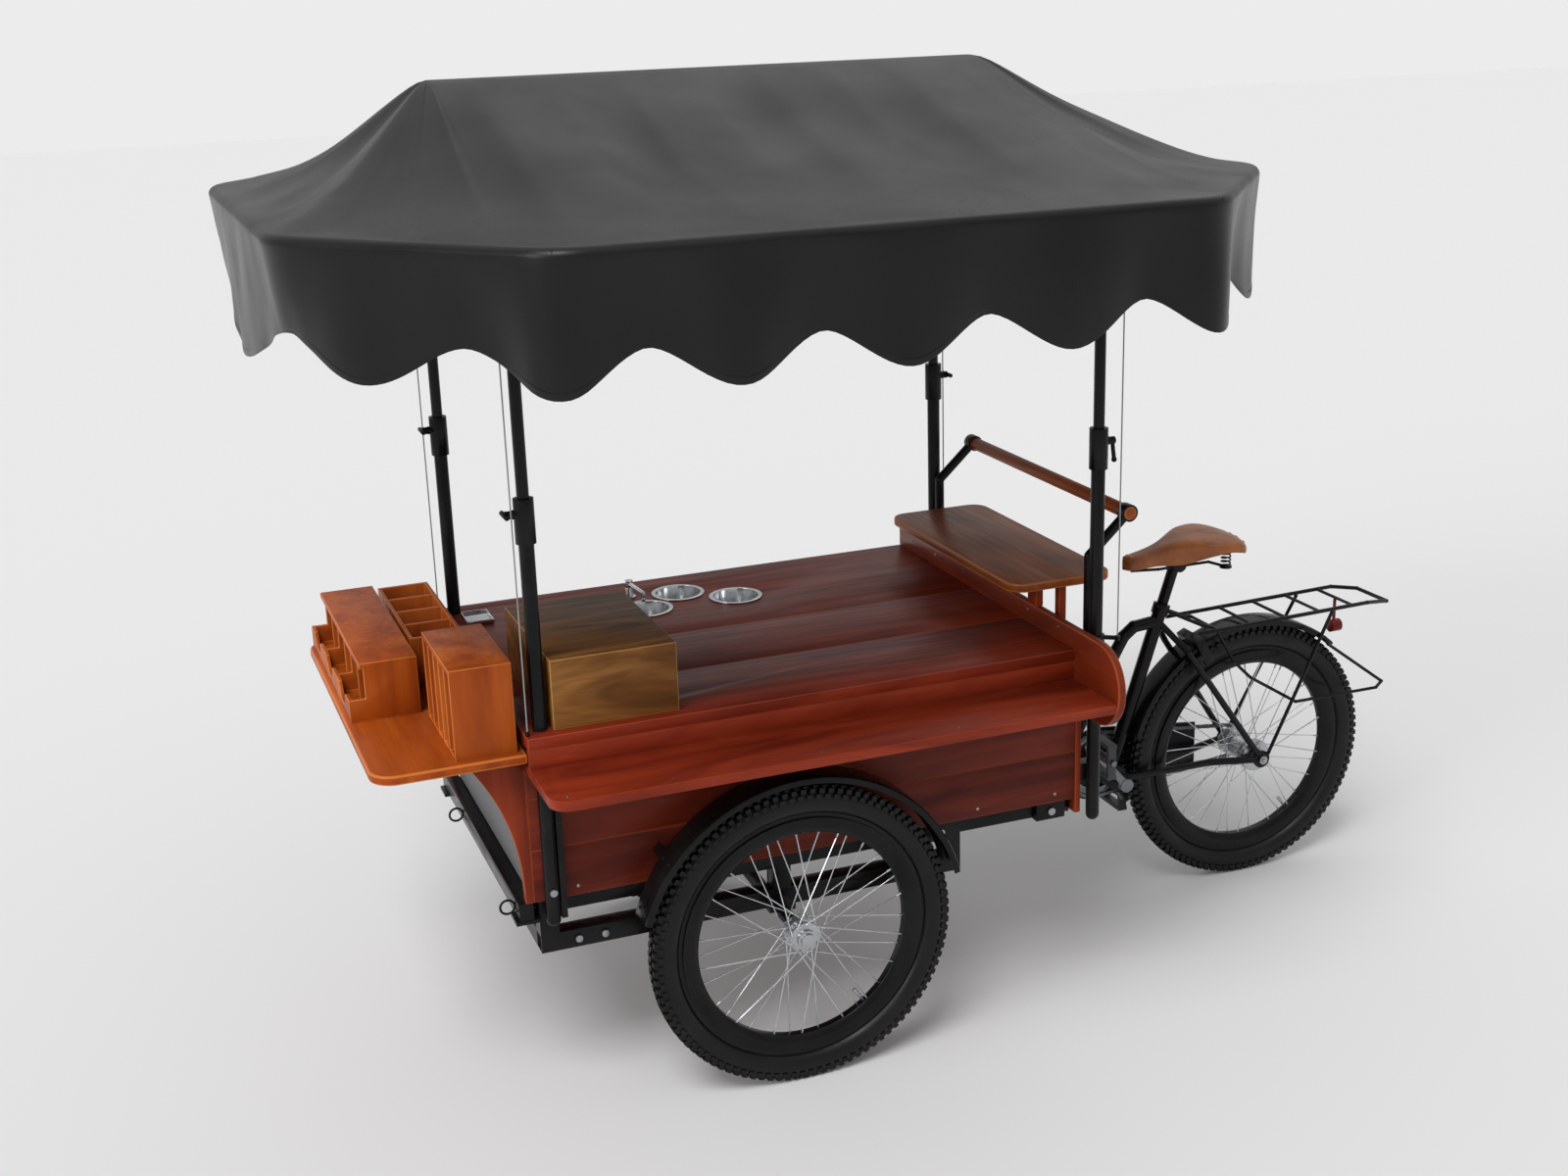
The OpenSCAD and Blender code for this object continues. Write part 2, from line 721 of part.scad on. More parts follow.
// Points around the eaves, each with its place along the scallops, low at whole numbers
scallops = [4, 1.5, 1, 1.5, 4, 1.5, 1, 1.5];
edge_steps = [16, 6, 8, 6, 16, 6, 8, 6];
function sum_to(v, e) = e <= 0 ? 0 : v[e - 1] + sum_to(v, e - 1);
function eave_points(d) = let (c = eave_corners(d)) [
    for (e = [0 : 7], k = [0 : edge_steps[e] - 1])
        let (f = k / edge_steps[e], q = c[(e + 1) % 8] - c[e])
        [c[e][0] + f * q[0], c[e][1] + f * q[1], sum_to(scallops, e) + f * scallops[e],
         e % 4 == 2 ? valance_end : valance_max]];

// The point of the ridge that stands over an eave point
function ridge_point(p, half) = [
    canopy_x + max(-1, min(1, (p[0] - canopy_x) / cs)) * ridge_l / 2, half * p[1] / cb];

// One skin of the canopy from its ridge to its hem, d inside the outer face
function canopy_skin(d) = let (eave = eave_points(d), rows = 5) concat(
    [for (k = [0 : rows - 1]) let (t = k / rows, f = pow(1 - t, 1.45)) [for (p = eave)
        let (q = ridge_point(p, 12 - d))
        [q[0] + t * (p[0] - q[0]), q[1] + t * (p[1] - q[1]), eave_z - d + ridge_rise * f]]],
    [for (k = [0 : 2]) [for (p = eave)
        let (low = (1 + cos(360 * p[2])) / 2, drop = valance_min + (p[3] - valance_min) * low,
             fold = 1 - 0.012 * (1 - low) * k / 2)
        [canopy_x + (p[0] - canopy_x) * fold, p[1] * fold, eave_z - d - (drop - d) * k / 2]]]);

// Strip of faces that closes a ridge ring, whose first point is number first
function ridge_strip(first) = let (side = edge_steps[0], n = sum_to(edge_steps, 8), m = sum_to(edge_steps, 5)) concat(
    [for (i = [1 : side - 2]) [first + i, first + i + 1, first + m - i - 1, first + m - i]],
    [for (j = [side : m - side]) [first + side - 1, first + j, first + j + 1]],
    [for (j = [m - 1 : n - 2]) [first + 1, first + j, first + j + 1]],
    [[first + 1, first + n - 1, first]]);

// Fabric canopy: two skins joined at the hem, each closed along the ridge
module canopy_cover() {
    outer = canopy_skin(0);
    inner = canopy_skin(cloth_t);
    n = len(outer[0]);
    rings = concat(outer, [for (k = [len(outer) - 1 : -1 : 0]) inner[k]]);
    m = len(rings);
    sides = [for (k = [0 : m - 2], i = [0 : n - 1])
        [k * n + i, k * n + (i + 1) % n, (k + 1) * n + (i + 1) % n, (k + 1) * n + i]];
    top = [for (f = ridge_strip(0)) [for (j = [len(f) - 1 : -1 : 0]) f[j]]];
    echo(str("canopy skins are ", cloth_t, " apart and no fold comes closer to another than 60"));
    color("#343536") place() polyhedron(points = [for (ring = rings, p = ring) p],
        faces = concat(top, sides, ridge_strip((m - 1) * n)), convexity = 6);
}

// Guy cords between the canopy frame and the cart
module guy_cords() {
    top = frame_z - 4 - seat_gap;
    color("#8d9092") place() both_sides() for (x = [post_front + cord_dx, -post_rear - cord_dx - 8])
        translate([x, cord_y, cord_low]) cylinder(h = top - cord_low, r = cord_r);
}

// Round wooden push bar
module push_bar_rod() {
    color("#8a4420") place() translate([bar_x, 0, bar_z]) round_y(-bar_l / 2, bar_l / 2, bar_d / 2);
}

// Bent steel arms that carry the push bar
module push_bar_arms() {
    low = counter_low - 50 + seat_gap;
    knee = bar_z - 85;
    x = -post_rear;
    sleeve = 15;
    color("#16171a") place() both_sides() difference() {
        union() {
            bent_rod([[x, arm_y, low], [x, arm_y, knee], [bar_x, arm_y, bar_z]], arm_r);
            translate([bar_x, 0, bar_z]) round_y(arm_y - sleeve, arm_y + sleeve - 4, bar_d / 2 + 4);
        }
        translate([bar_x, 0, bar_z]) round_y(arm_y - 40, arm_y + 40, bar_d / 2 + run_gap);
    }
}

// Arc of mudguard of radius r around a wheel's axle, from angle a0 to a1 above the forward level
module guard_arc(r, width, a0, a1) {
    half = width / 2;
    rotate([90, 0, 0]) rotate([0, 0, a0]) rotate_extrude(angle = a1 - a0, $fn = 96) polygon([
        [r - 12, -half], [r - 12, -half + guard_t], [r - 1, -half + guard_t + 3],
        [r - 1, half - guard_t - 3], [r - 12, half - guard_t], [r - 12, half],
        [r, half], [r + guard_t, half - 8], [r + guard_t, 8 - half], [r, -half]]);
}

// Mudguards over the front wheels, with the straps that hold them to the cabinet
module front_mudguards() {
    color("#131416") place() both_sides() translate([0, half_track, axle_z]) {
        guard_arc(front_guard_r, front_guard_w, 17, 166);
        for (a = [38, 90, 142]) rotate([0, -a, 0])
            block([front_guard_r - 5, cab_half + seat_gap - half_track, -10],
                  [front_guard_r - 0.5, -front_guard_w / 2 + 9, 10]);
    }
}

// Bolt heads on the posts and the chassis, and the steering pin
module frame_bolts() {
    lug_z = crank_z + 7;
    head_y = post_y + lp_r;
    color("#b9bcbf") place() {
        both_sides() {
            for (z = [counter_low - 100, cabinet_z + 30]) translate([post_front, 0, z])
                round_y(head_y + seat_gap, head_y + 6, 8);
            for (x = [-361, cabinet_rear * -1 + 58]) translate([x, 0, rail_z + 20])
                round_y(cab_half - 4 + seat_gap, cab_half + 3, 9);
            for (x = [450, 394]) translate([x, 0, low_rail_z + 20])
                round_y(rail_y + 20 + seat_gap, rail_y + 27, 8);
        }
        translate([-pivot_x, 0, lug_z - 18]) cylinder(h = 146, r = 10);
        translate([-pivot_x, 0, lug_z + 122 + seat_gap]) cylinder(h = 8, r = 17);
        translate([-pivot_x, 0, lug_z - 22]) cylinder(h = 10 - seat_gap, r = 17);
    }
}

// Tyre: a hollow ring open towards the rim
module tyre() {
    c = rim_r + tyre_h / 2;
    s = tyre_w / tyre_h;
    wall = 6;
    rotate([90, 0, 0]) rotate_extrude($fn = 96) difference() {
        translate([c, 0]) intersection() {
            circle(r = tyre_h / 2);
            square([tyre_h + 2, tyre_w], center = true);
        }
        translate([c, 0]) circle(r = tyre_h / 2 - wall);
        translate([rim_r - 2, -11]) square([20, 22]);
    }
    rotate([90, 0, 0]) for (side = [0, 1]) mirror([0, 0, side]) rotate_extrude($fn = 96) polygon([
        [rim_r - 8, 10.5], [rim_r - 8, 13.6], [rim_r - 0.3, 14.6], [rim_r + 6, 14.6], [rim_r + 6, 10.5]]);
}

// Rim: a deep hollow section around the axle
module rim() {
    outer = rim_r - seat_gap;
    rotate([90, 0, 0]) rotate_extrude($fn = 96) polygon([
        [rim_in, -9], [rim_in, 9], [rim_in + 12, 17], [outer, 19], [outer, 15], [rim_in + 20, 13],
        [rim_in + 8, 6], [rim_in + 8, -6], [rim_in + 20, -13], [outer, -15], [outer, -19],
        [rim_in + 12, -17]]);
}

// Crossed spokes: every second one leaves the flange's outer face, the others its inner face
module spokes(dy) {
    per_side = spoke_count / 2;
    outer_y = dy + flange_t + spoke_r + seat_gap + 0.05 * dy;
    inner_y = dy - spoke_r - 0.45;
    hole_r = flange_r - 4;
    lead = 62;
    for (side = [-1, 1], i = [0 : per_side - 1]) {
        a = (i + (side > 0 ? 0.5 : 0)) * 360 / per_side;
        out = i % 2 == 0;
        b = a + (out ? lead : -lead);
        y = side * (out ? outer_y : inner_y);
        rod([hole_r * cos(a), y, hole_r * sin(a)],
            [(rim_in - 0.6) * cos(b), side * 4, (rim_in - 0.6) * sin(b)], spoke_r);
    }
}

// Front hub with its flanges and a domed outer cap; the wheel is on the left side
module front_hub() {
    inner = -flange_dy - 10;
    cap = flange_dy + 12;
    difference() {
        union() {
            round_y(inner, cap, 20);
            for (y = [-flange_dy - flange_t, flange_dy]) round_y(y, y + flange_t, flange_r);
            round_y(cap, cap + 8, 15);
        }
        round_y(inner - 1, 27, front_spindle_r + run_gap);
    }
}

module left_tyre() {
    color("#1d1d1d") place() translate([0, half_track, axle_z]) tyre();
}

module left_rim() {
    color("#111214") place() translate([0, half_track, axle_z]) rim();
}

module left_hub() {
    color("#b6b9bc") place() translate([0, half_track, axle_z]) front_hub();
}

module left_spokes() {
    color("#c8cacc") place() translate([0, half_track, axle_z]) spokes(flange_dy);
}

module right_tyre() {
    color("#1d1d1d") place() translate([0, -half_track, axle_z]) tyre();
}

module right_rim() {
    color("#111214") place() translate([0, -half_track, axle_z]) rim();
}

module right_hub() {
    color("#b6b9bc") place() translate([0, -half_track, axle_z]) mirror([0, 1, 0]) front_hub();
}

module right_spokes() {
    color("#c8cacc") place() translate([0, -half_track, axle_z]) spokes(flange_dy);
}

module rear_tyre() {
    color("#1d1d1d") place() translate([rear_x, 0, axle_z]) tyre();
}

module rear_rim() {
    color("#111214") place() translate([rear_x, 0, axle_z]) rim();
}

module rear_spokes() {
    color("#c8cacc") place() translate([rear_x, 0, axle_z]) spokes(28);
}

// Rear hub: a broad geared shell with its sprocket on the right side
module rear_hub() {
    color("#54575b") place() translate([rear_x, 0, axle_z]) difference() {
        union() {
            round_y(-44, 44, 26);
            round_y(44, 60, 40);
            for (y = [-28 - flange_t, 28]) round_y(y, y + flange_t, flange_r);
            round_y(chain_y - 3, -44, 18);
            round_y(chain_y - 1.5, chain_y + 1.5, cog_r - 1);
        }
        round_y(-100, 100, rear_axle_r + run_gap);
    }
}

// Rear axle with its nuts
module rear_axle() {
    color("#a9acb0") place() translate([rear_x, 0, axle_z]) {
        round_y(-stay_y - 16, stay_y + 16, rear_axle_r);
        both_sides() {
            round_y(stay_y + 4 + seat_gap, stay_y + 12, 11);
            round_y(64, stay_y - 4 - seat_gap, 10);
        }
    }
}

// Rear frame: steering head, beam, curved tube, seat tube and the stays
module rear_frame() {
    lug_z = crank_z + 7;
    head_low = lug_z + seat_gap;
    head_h = 110 - 2 * seat_gap;
    beam = [-pivot_x, 0, lug_z + 55];
    bead = 0.5;
    joint = crank_at + 400 * seat_dir;
    dropout = [rear_x, stay_y, axle_z];
    nut_clear = 14;
    stay_bow = [130, 46 - stay_y, 0];
    curve = [[-pivot_x - 105, 0, beam[2] - 8], [-crank_x - 15, 0, crank_z + 321], [-crank_x - 34, 0, crank_z + 353],
             [-crank_x - 62, 0, crank_z + 374], joint];
    color("#151618") place() difference() {
        union() {
            translate([-pivot_x, 0, head_low]) cylinder(h = head_h, r = 26);
            rod(beam, crank_at + [0, 0, 6], 20);
            bent_rod(curve, 15, bead);
            rod(crank_at, seat_top, 17);
            translate(crank_at) round_y(-38, 38, 30);
            rod(seat_top - 26 * seat_dir, seat_top, seat_collar_r);
            both_sides() {
                bent_rod([joint + [0, 8, 0], stay_bend, dropout + nut_clear * unit(stay_bend - dropout)], stay_r, bead);
                bent_rod([crank_at + [0, 24, 0], [-crank_x - 30, 45, crank_z], dropout + stay_bow,
                          dropout + (nut_clear + 2) * unit(stay_bow)], 9, bead);
                translate([rear_x, 0, axle_z]) round_y(stay_y - 4, stay_y + 4, 22);
            }
        }
        translate([-pivot_x, 0, head_low - 1]) cylinder(h = head_h + 2, r = 10 + run_gap);
        rod(crank_at + 60 * seat_dir, seat_top + 10 * seat_dir, post_r + run_gap);
        translate(crank_at) round_y(-60, 60, 8.5 + run_gap);
        both_sides() translate([rear_x, 0, axle_z]) round_y(stay_y - 12, stay_y + 12, rear_axle_r + run_gap);
    }
}

// Rear mudguard
module rear_mudguard() {
    color("#131416") place() translate([rear_x, 0, axle_z]) guard_arc(rear_guard_r, guard_w, 16, 132);
}

// Luggage rack over the rear wheel, its legs, and the wire loop beside the wheel on the left
module rear_rack() {
    half = 75;
    x0 = -wheelbase + 190;
    tube = 5;
    side_y = guard_w / 2 + 23;
    rails = [[x0, half, rack_z], [-wheelbase - 300, half, rack_z + 10], [-wheelbase - 370, half - 15, rack_z],
             [-wheelbase - 370, 15 - half, rack_z], [-wheelbase - 300, -half, rack_z + 10], [x0, -half, rack_z]];
    bead = 0.5;
    tail = wire_r + bead - tail_end;
    loop = [[x0 - 56, half - tube - wire_r - seat_gap, rack_z], [x0 - 112, side_y, axle_z + 265],
            [-wheelbase + 27, side_y, axle_z + 215], [-wheelbase - 111, side_y, axle_z + 128],
            [tail + 16, side_y, axle_z + 127], [tail, side_y, axle_z + 142],
            [-wheelbase - 200, side_y, axle_z + 268], [-wheelbase - 192, guard_w / 2 + wire_r + seat_gap, axle_z + 288]];
    color("#18191b") place() {
        bent_rod(rails, tube, bead);
        both_sides() {
            rod([rear_x - 13, stay_y + 4 + seat_gap + 4.5, axle_z + 14], [-wheelbase - 196, half, rack_z + 3], 4.5);
            difference() {
                bent_rod([seat_top + [4, 10, -12], [x0 - 30, 40, rack_z + 8], [x0 - 56, 46, rack_z]], 4.5, bead);
                rod(seat_top - 60 * seat_dir, seat_top + 40 * seat_dir, seat_collar_r + seat_gap);
            }
        }
        bent_rod(loop, wire_r, bead);
        for (k = [0 : 4])
            rod([x0 - 56 - 98 * k, -half, rack_z + k * 2], [x0 - 56 - 98 * k, half, rack_z + k * 2], wire_r);
    }
}

// Ring lock around the wheel, with the two tabs that fix it to the seat stays
module ring_lock() {
    lean = 27;
    bend = stay_bend - [rear_x, 0, axle_z];
    tab_top = rear_guard_r - 14;
    share = tab_top / (bend * [sin(lean), 0, cos(lean)]);
    tab_x = share * (bend * [cos(lean), 0, -sin(lean)]);
    tab_y = stay_y + share * (bend[1] - stay_y) - stay_r - seat_gap;
    color("#1f2022") place() translate([rear_x, 0, axle_z]) rotate([0, lean, 0]) {
        difference() {
            block([-12, -46, rear_guard_r - 50], [12, 46, rear_guard_r + 20]);
            block([-13, -38, rear_guard_r - 51], [13, 38, rear_guard_r + guard_t + seat_gap]);
        }
        both_sides() block([11, 41, tab_top - 16], [tab_x + stay_r, tab_y, tab_top]);
    }
}

// Rear lamp hanging from the rack
module tail_lamp() {
    x = -wheelbase - 258;
    color("#2a1414") place() {
        translate([x, 0, rack_z - 60]) cylinder(h = 60 + 8 - wire_r - seat_gap, r = 4);
        translate([x + 12, 0, rack_z - 66]) rotate([0, -90, 0]) cylinder(h = 28, r = 16);
    }
}

// Outline around the two sprockets of the chain drive, g outside their pitch circles
function drive_outline(g, n = 24) = let (
    dx = wheelbase - crank_x, dz = axle_z - crank_z, l = norm([dx, dz]),
    tilt = atan2(dz, -dx), spread = acos((ring_r - cog_r) / l)) concat(
    [for (i = [0 : n]) let (a = tilt + spread + (360 - 2 * spread) * i / n)
        [-crank_x + (ring_r + g) * cos(a), crank_z + (ring_r + g) * sin(a)]],
    [for (i = [0 : n]) let (a = tilt - spread + 2 * spread * i / n)
        [-wheelbase + (cog_r + g) * cos(a), axle_z + (cog_r + g) * sin(a)]]);

// Roller chain around the chainring and the rear sprocket
module chain() {
    color("#3b3c3e") place() translate([0, chain_y + 4, 0]) rotate([90, 0, 0]) linear_extrude(height = 8)
        difference() {
            polygon(drive_outline(9));
            polygon(drive_outline(0));
        }
}

// Guard plate outside the chain, ending ahead of the sprocket, with the tab that fixes it to the stay
module chain_guard() {
    x = -crank_x - 190;
    open_end = 100;
    color("#2b2d2f") place() {
        translate([0, chain_y - 7, 0]) rotate([90, 0, 0]) linear_extrude(height = 2) difference() {
            polygon(drive_outline(16));
            translate([-wheelbase - 80, crank_z - 130]) square([80 + open_end, 260]);
            translate([-crank_x, crank_z]) circle(r = 24);
        }
        block([x, chain_y - 8, axle_z - 6], [x + 20, chain_y + 5.2, axle_z + 6]);
    }
}

// Direction of the left crank, and where its pedal's axle sits
crank_dir = [cos(crank_angle), 0, sin(crank_angle)];
crank_face = 76;
pedal_pin_r = 7;

// Crank axle, both cranks, the chainring and the pedal pins
module crankset() {
    color("#8b8e92") place() translate(crank_at) {
        round_y(-crank_face - 12, crank_face + 12, 8.5);
        for (side = [-1, 1]) {
            y = side * (crank_face + 7);
            a = side > 0 ? crank_angle : crank_angle + 180;
            translate([0, y, 0]) round_y(-8, 8, 17);
            translate([crank_l * cos(a), y, crank_l * sin(a)]) round_y(-7, 7, 13);
            rotate([0, -a, 0]) block([0, y - 6, -9], [crank_l, y + 6, 9]);
            translate([crank_l * cos(a), 0, crank_l * sin(a)])
                round_y(side > 0 ? y : y - 110, side > 0 ? y + 110 : y, pedal_pin_r);
        }
        translate([0, chain_y, 0]) difference() {
            union() {
                difference() {
                    round_y(-1.5, 1.5, ring_r - 0.6);
                    round_y(-2, 2, ring_r - 17);
                }
                for (k = [0 : 4]) rotate([0, 72 * k, 0]) block([0, -1.5, -7], [ring_r - 14, 1.5, 7]);
                round_y(-16, 2, 17);
            }
            round_y(-30, 30, 8);
        }
    }
}

// Platform pedal turning on its pin; its long faces stand upright at rest
module pedal(side) {
    a = side > 0 ? crank_angle : crank_angle + 180;
    y0 = crank_face + 16;
    translate(crank_at + [crank_l * cos(a), 0, crank_l * sin(a)]) mirror([0, side > 0 ? 0 : 1, 0])
        difference() {
            union() {
                for (z = [-44, 34]) block([-12, y0, z], [12, y0 + 92, z + 10]);
                for (y = [y0, y0 + 80]) block([-10, y, -44], [10, y + 12, 44]);
                round_y(y0, y0 + 92, 11);
            }
            round_y(y0 - 1, y0 + 99, pedal_pin_r + run_gap);
        }
}

module pedal_left() {
    color("#4b4c4d") place() pedal(1);
}

module pedal_right() {
    color("#4b4c4d") place() pedal(-1);
}

// Coil of wire as a closed sweep, rising by pitch each turn
module coil(r, wire, pitch, turns) {
    rings = floor(8 * turns);
    loft([for (k = [0 : rings]) let (a = 45 * k) [for (j = [0 : 5]) let (b = -60 * j)
        [(r + wire * cos(b)) * cos(a), (r + wire * cos(b)) * sin(a), pitch * k / 8 + wire * sin(b)]]]);
}

spring_pitch = 8;
spring_wire = 2;

// Place of the left spring under the saddle, from the clamp, and its seats' heights
spring_at = [-110, 52, -12];
spring_seat_t = 5;
spring_top = 43.1;

// Seat post with the saddle's clamp, rails and spring seats
module seat_post() {
    color("#1b1c1e") place() {
        rod(saddle_at - 290 * seat_dir, saddle_at, post_r);
        translate(saddle_at) round_y(-26, 26, 17);
        both_sides() {
            bent_rod([saddle_at + [128, 8, -0.7], saddle_at + [60, 22, -2], saddle_at + [-80, 22, -2],
                      saddle_at + spring_at + [0, 0, 2.5]], 3.5, 0.5);
            translate(saddle_at + spring_at) cylinder(h = spring_seat_t, r = 15);
            translate(saddle_at + spring_at + [0, 0, spring_top]) cylinder(h = 4, r = 15);
        }
    }
}

// The two coil springs under the back of the saddle
module saddle_springs() {
    echo(str("spring coils are ", spring_pitch - 2 * spring_wire, " apart"));
    turns = (spring_top - spring_seat_t - 2 * (spring_wire + seat_gap)) / spring_pitch;
    color("#111214") place() both_sides()
        translate(saddle_at + spring_at + [0, 0, spring_seat_t + seat_gap + spring_wire])
            coil(11, spring_wire, spring_pitch, turns);
}

// Half width and crown height of the saddle at f, from the nose (0) to the back (1)
function saddle_half(f) = 16 + 12 * sin(90 * min(1, f * 6)) + 76 * pow(sin(90 * max(0, min(1, (f - 0.25) / 0.55))), 2)
    - 40 * pow(max(0, (f - 0.82) / 0.18), 3);
function saddle_top(f) = 36 + 38 * pow(sin(90 * min(1, f / 0.65)), 2) - 20 * pow(max(0, (f - 0.75) / 0.25), 2);

// Leather saddle cover
module saddle_cover() {
    length = 304;
    nose = saddle_at + [146, 0, 0];
    rows = 14;
    around = 16;
    color("#a5602f") place() loft([for (k = [0 : rows]) let (f = k / rows, w = saddle_half(f), h = saddle_top(f))
        [for (j = [0 : around - 1]) let (a = -360 * j / around)
            nose + [-length * f, w * cos(a), h - 20 + (sin(a) > 0 ? 20 : 14) * sin(a)]]]);
}

chassis_frame();
front_axle();
cabinet_floor();
side_panel(0);  // side_panel_left
side_panel(1);  // side_panel_right
front_panel();
rear_panel();
cabinet_trim();
counter_top();
ledge_boards();
end_board();
rear_shelf();
front_shelf();
tray_organizer();
bin_organizer();
divider_organizer();
wooden_box();
counter_inserts();
tap_spout();
lower_posts();
post_collars();
post_brackets();
knob_front_left();
knob_front_right();
lever_rear_left();
knob_rear_right();
upper_posts();
canopy_frame();
canopy_cover();
guy_cords();
push_bar_rod();
push_bar_arms();
front_mudguards();
frame_bolts();
left_tyre();
left_rim();
left_hub();
left_spokes();
right_tyre();
right_rim();
right_hub();
right_spokes();
rear_tyre();
rear_rim();
rear_hub();
rear_spokes();
rear_frame();
rear_axle();
rear_mudguard();
rear_rack();
ring_lock();
tail_lamp();
chain();
chain_guard();
crankset();
pedal_left();
pedal_right();
seat_post();
saddle_springs();
saddle_cover();
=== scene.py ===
import json
import math
import random
import bmesh
import bpy
from mathutils import Euler, Matrix, Vector, noise


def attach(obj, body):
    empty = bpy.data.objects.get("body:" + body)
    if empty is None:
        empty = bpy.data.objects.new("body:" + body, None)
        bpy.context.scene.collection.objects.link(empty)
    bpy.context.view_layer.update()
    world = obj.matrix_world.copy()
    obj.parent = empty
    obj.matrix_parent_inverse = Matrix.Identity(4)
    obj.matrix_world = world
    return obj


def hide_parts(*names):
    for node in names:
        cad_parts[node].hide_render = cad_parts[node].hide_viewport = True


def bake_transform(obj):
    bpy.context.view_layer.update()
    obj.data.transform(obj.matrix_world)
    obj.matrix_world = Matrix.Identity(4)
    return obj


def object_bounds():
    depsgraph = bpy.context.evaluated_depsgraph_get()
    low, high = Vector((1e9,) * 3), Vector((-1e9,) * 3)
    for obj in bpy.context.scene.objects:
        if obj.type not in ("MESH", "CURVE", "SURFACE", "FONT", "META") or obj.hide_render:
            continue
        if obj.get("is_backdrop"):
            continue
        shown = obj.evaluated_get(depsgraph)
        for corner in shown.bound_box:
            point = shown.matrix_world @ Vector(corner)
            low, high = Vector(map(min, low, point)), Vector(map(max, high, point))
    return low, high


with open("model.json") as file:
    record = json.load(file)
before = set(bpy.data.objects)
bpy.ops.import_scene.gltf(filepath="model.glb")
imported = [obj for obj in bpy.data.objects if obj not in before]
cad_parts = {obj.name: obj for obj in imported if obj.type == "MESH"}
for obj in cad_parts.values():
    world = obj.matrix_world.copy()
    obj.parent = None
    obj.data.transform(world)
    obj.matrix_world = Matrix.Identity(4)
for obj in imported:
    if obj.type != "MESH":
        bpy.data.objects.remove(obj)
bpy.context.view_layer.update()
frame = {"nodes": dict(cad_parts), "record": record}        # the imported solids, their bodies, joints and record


# Studio
# A pale floor under a plain white surround, with three broad soft lamps far away from the object.
# The camera stands ahead of the cart on its left, a little above head height.
CAMERA_AT = Vector((1.7004, 3.8874, 2.2345))
FORWARD = Vector((-0.33325, -0.89427, -0.29871))
RIGHT = Vector((-0.93705, 0.34919, 0.0))
UP = Vector((-0.10431, -0.27991, 0.95434))
ROLL = -0.03269
side = math.cos(ROLL) * RIGHT + math.sin(ROLL) * UP
over = math.cos(ROLL) * UP - math.sin(ROLL) * RIGHT
lens = bpy.data.cameras.new("camera")
lens.sensor_width = 36.0
lens.lens = 44.408
lens.clip_end = 100.0
camera = bpy.data.objects.new("camera", lens)
bpy.context.scene.collection.objects.link(camera)
camera.matrix_world = Matrix((
    (side.x, over.x, -FORWARD.x, CAMERA_AT.x),
    (side.y, over.y, -FORWARD.y, CAMERA_AT.y),
    (side.z, over.z, -FORWARD.z, CAMERA_AT.z),
    (0.0, 0.0, 0.0, 1.0)))
bpy.context.scene.camera = camera
bpy.context.scene.view_settings.view_transform = "Standard"


def linear(code):
    """Linear colour of an sRGB hex code."""
    parts = [int(code[i:i + 2], 16) / 255 for i in (1, 3, 5)]
    return [p / 12.92 if p <= 0.04045 else ((p + 0.055) / 1.055) ** 2.4 for p in parts] + [1.0]


def new_material(name, colour="#808080", roughness=0.5, metallic=0.0, specular=0.5):
    """A material with its shader's plain values set, and its tree."""
    made = bpy.data.materials.new(name)
    made.use_nodes = True
    shader = made.node_tree.nodes["Principled BSDF"]
    shader.inputs["Base Color"].default_value = linear(colour)
    shader.inputs["Roughness"].default_value = roughness
    shader.inputs["Metallic"].default_value = metallic
    shader.inputs["Specular IOR Level"].default_value = specular
    return made, made.node_tree, shader


def add_node(tree, kind, values=None, **settings):
    """A node of the tree with its settings and its sockets' values."""
    node = tree.nodes.new(kind)
    for key, value in settings.items():
        setattr(node, key, value)
    for key, value in (values or {}).items():
        node.inputs[key].default_value = value
    return node


floor_white = "#ececec"
floor_paint = "#d6d6d6"
floor_finish, tree, shader = new_material("floor", floor_paint, 0.9, specular=0.1)
half = 30.0
floor_mesh = bpy.data.meshes.new("floor")
floor_mesh.from_pydata([(-half, -half, 0), (half, -half, 0), (half, half, 0), (-half, half, 0)], [], [(0, 1, 2, 3)])
floor_mesh.materials.append(floor_finish)
floor = bpy.data.objects.new("floor", floor_mesh)
bpy.context.scene.collection.objects.link(floor)
floor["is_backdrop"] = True

world = bpy.data.worlds.new("surround")
bpy.context.scene.world = world
world.use_nodes = True
tree = world.node_tree
tree.nodes.clear()
light_path = add_node(tree, "ShaderNodeLightPath")
seen = add_node(tree, "ShaderNodeMath", operation="MAXIMUM")
seen_more = add_node(tree, "ShaderNodeMath", operation="MAXIMUM")
tree.links.new(light_path.outputs["Is Camera Ray"], seen.inputs[0])
tree.links.new(light_path.outputs["Is Transmission Ray"], seen.inputs[1])
tree.links.new(seen.outputs[0], seen_more.inputs[0])
soft = add_node(tree, "ShaderNodeBackground", {"Color": (1, 1, 1, 1), "Strength": 0.34})
plain = add_node(tree, "ShaderNodeBackground", {"Color": linear(floor_white), "Strength": 1.0})
